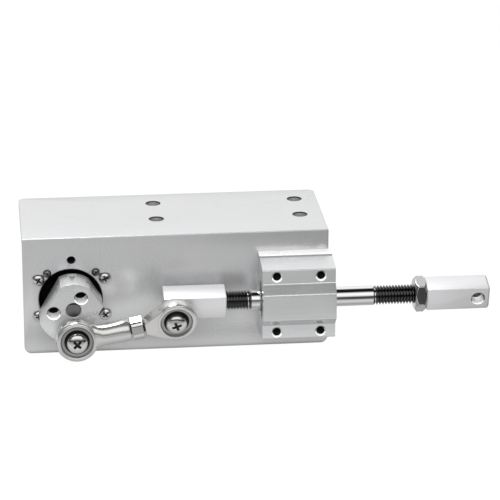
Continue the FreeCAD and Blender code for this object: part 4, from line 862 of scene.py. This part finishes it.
def make_small_rod_end():
    """Rod end with a flat taper and a threaded stud."""
    tip, root, tip_half, root_half, flat = -12.8, -4.6, 2.4, 7.2, 2.9
    corners = [(tip, -tip_half), (root, -root_half), (root, root_half), (tip, tip_half)]
    piece = rod_end_eye("small_rod_end_body", 12.0)
    taper = prism("taper", [(x, -flat, z) for x, z in corners], (0.0, 2.0 * flat, 0.0))
    break_edges(taper, 0.3, 2)
    fuse(piece, taper)
    open_eye(piece)
    settle(piece, SMALL_END, tilt=LINK_TILT, roll=SLIDER_ROLL)
    smooth(piece, 34.0, flat_faces=True)
    finish(piece, "connecting_rod", NICKEL, "nickel_plated", "small_rod_end")
    stud = thread("small_end_stud", STUD_THREAD, -27.0, -12.0)
    settle(stud, SMALL_END, tilt=LINK_TILT, roll=SLIDER_ROLL)
    smooth(stud, SOFT_ANGLE)
    finish(stud, "connecting_rod", DARK_THREAD, "nickel_plated")


def pan_head(name, size, length):
    """Cross-recess pan-head screw along Y, its head seated at the origin and standing towards -Y."""
    head, height, shank, (reach, width, depth) = size
    rim, bevel = 0.12, 0.3
    turns = [math.radians(angle) for angle in range(0, 91, 9)]
    crown = [(head * math.sin(turn), -height * (rim + (1.0 - rim) * math.cos(turn))) for turn in turns]
    body = [(head - 0.1, 0.0), (shank, 0.0), (shank, length - bevel), (shank - bevel, length), (0.0, length)]
    piece = lathe(name, crown + body, steps=MEDIUM)
    cut(piece, cross_recess("recess", reach, width, depth, -height))
    # Faces deep in the recess take the second material, which is painted shade
    for face in piece.data.polygons:
        spot = face.center / MM
        deep = abs(face.normal.y) < 0.6 or spot.y > 0.6 * depth - height
        if math.hypot(spot.x, spot.z) < reach and spot.y < 0.0 and deep:
            face.material_index = 1
    smooth(piece, SOFT_ANGLE)
    return piece


def finish_screw(piece, body, material, slot, *nodes):
    """A finished cross-recess screw, its recess painted dark as shade."""
    finish(piece, body, material, slot, *nodes)
    piece.data.materials.append(PAINTED_SHADE)


def make_plate_screws():
    """Bright cross-recess screws round the opening and two small dark dome heads."""
    length = 8.0
    row = copies(pan_head("motor_screw", MOTOR_SCREW, length), "motor_screw", len(MOTOR_SCREW_ANGLES))
    for i, (piece, angle) in enumerate(zip(row, MOTOR_SCREW_ANGLES)):
        settle(piece, around(MOTOR_SCREW_CIRCLE, angle, PLATE_FRONT), spin=20.0 + 37.0 * i)
        finish_screw(piece, "bracket", BRIGHT_SCREW, "zinc_plated", *(["motor_screws"] if i == 0 else []))
    row = copies(pan_head("gearbox_screw", GEARBOX_SCREW, length), "gearbox_screw", len(GEARBOX_SCREW_ANGLES))
    for i, (piece, angle) in enumerate(zip(row, GEARBOX_SCREW_ANGLES)):
        settle(piece, around(GEARBOX_SCREW_CIRCLE, angle, PLATE_FRONT), spin=33.0 + 50.0 * i)
        finish_screw(piece, "bracket", DARK_STEEL, "black_oxide", *(["gearbox_screws"] if i == 0 else []))


def make_link_screws():
    """Pan-head screws through the two balls."""
    ball_face = 3.25
    big = pan_head("big_end_pan_screw", LINK_SCREW, 6.5)
    settle(big, (BIG_END[0], LINK_Y - ball_face, BIG_END[2]), spin=45.0)
    finish_screw(big, "connecting_rod", BRIGHT_SCREW, "zinc_plated", "big_end_screw")
    small = pan_head("small_end_pan_screw", LINK_SCREW, 20.1)
    roll = math.radians(SLIDER_ROLL)
    seat = (PIN_X, LINK_Y - ball_face * math.cos(roll), SMALL_END[2] - ball_face * math.sin(roll))
    settle(small, seat, roll=SLIDER_ROLL, spin=20.0)
    finish_screw(small, "slider", BRIGHT_SCREW, "zinc_plated", "small_end_screw")


def make_block_screws():
    """Socket-head screws behind the plate that hold the bearing block."""
    shank, tip, head, top = 2.0, -14.0, 3.5, 4.0
    screw = lathe("block_screw", [(0.0, tip), (shank - 0.3, tip), (shank, tip + 0.3), (shank, 0.0),
                                  (head - 0.1, 0.0), (head, 0.1), (head, top - 0.3), (head - 0.3, top),
                                  (0.0, top)], steps=MEDIUM)
    cut(screw, hexagon_bar("socket", 1.5, 1.8, top + PAST, "Y"))
    smooth(screw)
    for i, (piece, (x, z)) in enumerate(zip(copies(screw, "block_screw", len(BLOCK_HOLES)), BLOCK_HOLES)):
        settle(piece, (x, PLATE_BACK, z))
        finish(piece, "bracket", BLACK_OXIDE_AND_BALL_SHADE, "black_oxide", *(["block_screws"] if i == 0 else []))


def make_gear_motor_ring(name, profile, material, slot, node):
    """Ring of the gear motor turned about the shaft, its profile measured from the plate's back."""
    piece = lathe(name, profile, ring=True)
    settle(piece, (SHAFT_X, PLATE_BACK, AXIS_HEIGHT))
    smooth(piece)
    finish(piece, "bracket", material, slot, node)


def make_gearbox_front():
    """Front plate of the gearbox with its tapped holes, painted near black as the shade inside the plate's
    opening.
    """
    bore, outer, end, tapping = 5.0, GEARBOX_RADIUS, GEARBOX_FRONT_END, 1.55
    piece = lathe("gearbox_front_disc", [(bore, 0.0), (outer - 0.4, 0.0), (outer, 0.4), (outer, end - 0.3),
                                         (outer - 0.3, end), (bore, end)], ring=True)
    settle(piece, (SHAFT_X, PLATE_BACK, AXIS_HEIGHT))
    angles = MOTOR_SCREW_ANGLES + (SPARE_SCREW_ANGLE, SPARE_SCREW_ANGLE + 180)
    cut_row(piece, drill("motor_tapping", tapping, 0.0, end + PAST, "Y", 0.15),
            [around(MOTOR_SCREW_CIRCLE, angle, PLATE_BACK) for angle in angles])
    cut_row(piece, drill("gearbox_tapping", GEARBOX_HOLE_RADIUS, 0.0, end + PAST, "Y", 0.15),
            [around(GEARBOX_SCREW_CIRCLE, angle, PLATE_BACK) for angle in GEARBOX_SCREW_ANGLES])
    smooth(piece)
    finish(piece, "bracket", SHADE_BLACK, "black_paint", "gearbox_front_plate")


def make_gearbox():
    """Round gearbox behind the plate: drilled front plate painted black as shade, bush, grooved housing and
    back plate.
    """
    make_gearbox_front()
    bore, flange, sleeve, front = 3.05, 6.5, 4.95, -1.5
    bush = [(bore, front + 0.2), (bore + 0.2, front), (flange - 0.2, front), (flange, front + 0.2),
            (flange, 0.0), (sleeve, 0.0), (sleeve, GEARBOX_FRONT_END), (bore, GEARBOX_FRONT_END)]
    make_gear_motor_ring("output_bush_ring", bush, OILED_BRONZE, "bronze", "output_bush")
    outer, inner, start, end, bevel = GEARBOX_RADIUS, 16.5, GEARBOX_FRONT_END, HOUSING_END, 0.3
    groove = [(outer, 0.0), (outer - bevel, 0.3), (outer - bevel, 0.9), (outer, 1.2)]
    housing = [(inner, start), (outer - bevel, start), (outer, start + bevel)]
    for place in (7.0, 17.8):
        housing += [(radius, place + along) for radius, along in groove]
    housing += [(outer, end - bevel), (outer - bevel, end), (inner, end)]
    make_gear_motor_ring("gearbox_housing_shell", housing, CAST_ZINC, "cast_zinc", "gearbox_housing")
    hole, start, end = 4.0, HOUSING_END, GEARBOX_BACK_END
    back = [(hole, start), (outer - bevel, start), (outer, start + bevel), (outer, end - 0.6),
            (outer - 0.6, end), (hole, end)]
    make_gear_motor_ring("gearbox_back_disc", back, CAST_ZINC, "cast_zinc", "gearbox_back_plate")


def make_motor_can():
    """Drawn can with a round shoulder and a rolled lip."""
    hole, inner, shoulder, lip = 4.0, 16.3, 2.4, 0.55
    floor, lip_top = GEARBOX_BACK_END + 1.2, 54.4
    profile = [(hole, GEARBOX_BACK_END)] + arc(shoulder, -90.0, 0.0, 10, (15.1, GEARBOX_BACK_END + shoulder))
    profile += arc(lip, 0.0, 100.0, 6, (16.95, 53.95))
    profile += [(inner, lip_top), (inner, floor), (hole, floor)]
    make_gear_motor_ring("motor_can_shell", profile, MOTOR_STEEL, "motor_steel", "motor_can")


def make_motor_end():
    """Moulded end cap with a slot for each of the two solder tags, and the tags."""
    place = (SHAFT_X, PLATE_BACK, AXIS_HEIGHT)
    skirt, skirt_start, boss, inner, rim = 16.25, 50.5, 5.5, 4.0, 54.5
    profile = [(0.0, 57.5), (boss - 0.6, 57.5), (boss - 0.2, 57.2), (boss, 56.8), (boss, 55.0),
               (boss + 0.4, rim), (skirt - 0.35, rim), (skirt, rim - 0.4), (skirt, skirt_start),
               (inner, skirt_start), (inner, rim - 0.2), (0.0, rim - 0.2)]
    cap = lathe("motor_end_cap_moulding", profile)
    thick, half, play = 0.25, 2.8, 0.05
    corners = [(-thick - play, -half - play), (thick + play, -half - play), (thick + play, half + play),
               (-thick - play, half + play)]
    slot = prism("tag_slot", [(x, skirt_start - OVER, z) for x, z in corners], (0.0, 5.0, 0.0))
    cut_row(cap, slot, [(x, 0.0, 0.0) for x in TAG_X])
    settle(cap, place)
    smooth(cap)
    finish(cap, "bracket", BLACK_PLASTIC, "black_plastic", "motor_end_cap")
    foot, end, corner, eye_place = 45.5, 60.5, 1.2, 58.2
    outline = [(foot, -half), (foot, half), (end - corner, half), (end, half - corner), (end, corner - half),
               (end - corner, -half)]
    tag = prism("motor_tag", [(-thick, y, z) for y, z in outline], (2.0 * thick, 0.0, 0.0))
    eye = drill("tag_eye", 0.9, -thick - PAST, thick + PAST, "X")
    cut(tag, settle(eye, (0.0, eye_place, 0.0)))
    break_edges(tag, 0.08, 1)
    smooth(tag)
    for i, (piece, x) in enumerate(zip(copies(tag, "motor_tag", len(TAG_X)), TAG_X)):
        settle(piece, (place[0] + x, place[1], place[2]))
        finish(piece, "bracket", BRASS, "brass_tags", *(["motor_terminals"] if i == 0 else []))


# Studio

def add_camera():
    """Camera at the photograph's place, looking down and a little to the right."""
    lens = bpy.data.cameras.new("photo_camera")
    lens.lens = CAMERA_LENS
    lens.sensor_width = SENSOR
    lens.clip_end = SIGHT * MM
    camera = bpy.data.objects.new("photo_camera", lens)
    bpy.context.scene.collection.objects.link(camera)
    camera.location = [value * MM for value in CAMERA_PLACE]
    camera.rotation_euler = [math.radians(angle) for angle in (90 - CAMERA_PITCH, CAMERA_ROLL, -CAMERA_YAW)]
    bpy.context.scene.camera = camera


def grey_ramp(tree, socket, levels):
    """Grey ramp over the span of the levels, read at the share that a socket gives."""
    ramp = tree.nodes.new("ShaderNodeValToRGB")
    stops = ramp.color_ramp.elements
    low, high = levels[0][0], levels[-1][0]
    while len(stops) < len(levels):
        stops.new(0.5)
    for stop, (place, level) in zip(stops, levels):
        stop.position = (place - low) / (high - low)
        stop.color = (level, level, level, 1.0)
    tree.links.new(socket, ramp.inputs["Fac"])
    return ramp.outputs["Color"]


def axes_of(tree, socket):
    """X, Y and Z of a socket."""
    parts = tree.nodes.new("ShaderNodeSeparateXYZ")
    tree.links.new(socket, parts.inputs["Vector"])
    return parts.outputs["X"], parts.outputs["Y"], parts.outputs["Z"]


def floor_level(tree):
    """Glow of the mirrored floor in painted bands of light and shade, dimmed with painted shade far in front
    of the rod and below the end block.
    """
    place = tree.nodes.new("ShaderNodeTexCoord")
    x, y, _ = axes_of(tree, place.outputs["Object"])
    level = grey_ramp(tree, remap(tree, y, (FLOOR_LEVELS[0][0], FLOOR_LEVELS[-1][0])), FLOOR_LEVELS)
    right = remap(tree, x, ROD_SHADE_X, 0.0, 1.0, soft=True)
    far = remap(tree, y, ROD_SHADE_Y, 1.0, 0.0, soft=True)
    kept = compute(tree, "MULTIPLY_ADD", compute(tree, "MULTIPLY", right, far), -ROD_SHADE, 1.0)
    side = remap(tree, x, END_SHADE_X, 1.0, END_LEVEL, soft=True)
    return compute(tree, "MULTIPLY", compute(tree, "MULTIPLY", level, side), kept)


def add_floor():
    """Pale floor, white to the camera with a faint shadow, that glows to the metal in painted bands of light
    and shade.
    """
    deselect()
    bpy.ops.mesh.primitive_plane_add(size=FLOOR_SIZE, location=(0.0, 0.0, PLATE_FOOT * MM - FLOOR_GAP))
    floor = bpy.context.active_object
    floor.name = "floor"
    paper = bpy.data.materials.new("white_paper")
    paper.use_nodes = True
    tree = paper.node_tree
    shader = tree.nodes["Principled BSDF"]
    shader.inputs["Base Color"].default_value = (FLOOR_TONE, FLOOR_TONE, FLOOR_TONE, 1.0)
    shader.inputs["Roughness"].default_value = 0.9
    shader.inputs["Specular IOR Level"].default_value = 0.0
    shader.inputs["Emission Color"].default_value = (1.0, 1.0, 1.0, 1.0)
    path = tree.nodes.new("ShaderNodeLightPath")
    seen = tree.nodes.new("ShaderNodeMix")
    seen.inputs["B"].default_value = FLOOR_WHITE
    tree.links.new(path.outputs["Is Camera Ray"], seen.inputs["Factor"])
    tree.links.new(floor_level(tree), seen.inputs["A"])
    tree.links.new(seen.outputs["Result"], shader.inputs["Emission Strength"])
    floor.data.materials.append(paper)


def add_light(name, place, size, power, mirrored):
    """A soft box that faces the object; one that is not mirrored only lights satin faces."""
    lamp = bpy.data.lights.new(name, "AREA")
    lamp.shape = "RECTANGLE"
    lamp.size, lamp.size_y = size
    lamp.energy = power
    light = bpy.data.objects.new(name, lamp)
    bpy.context.scene.collection.objects.link(light)
    light.location = place
    light.visible_glossy = mirrored
    aim = Vector(LIT_SPOT) - Vector(place)
    light.rotation_euler = aim.to_track_quat("-Z", "Y").to_euler()


def add_studio():
    """Room that is bright behind the object and over the camera and dark between, and the soft boxes."""
    world = bpy.data.worlds.new("studio")
    world.use_nodes = True
    tree = world.node_tree
    back = tree.nodes["Background"]
    place = tree.nodes.new("ShaderNodeTexCoord")
    x, y, z = axes_of(tree, place.outputs["Generated"])
    swing = compute(tree, "ARCTAN2", compute(tree, "MULTIPLY", y, -1.0), z)
    level = grey_ramp(tree, remap(tree, swing, (-math.pi, math.pi)), ROOM_LEVELS)
    tree.links.new(level, back.inputs["Color"])
    sides = remap(tree, compute(tree, "ABSOLUTE", x), SIDE_FADE, 1.0, SIDE_LEVEL, soft=True)
    tree.links.new(sides, back.inputs["Strength"])
    bpy.context.scene.world = world
    for box in SOFT_BOXES:
        add_light(*box)
    bpy.context.scene.view_settings.view_transform = "Standard"


dress_solids()
make_bracket()
make_bearing_block()
make_crank()
make_output_shaft()
make_rod_blocks()
make_guide_rod()
make_nuts()
make_big_rod_end()
make_small_rod_end()
make_plate_screws()
make_link_screws()
make_block_screws()
make_gearbox()
make_motor_can()
make_motor_end()
add_camera()
add_floor()
add_studio()
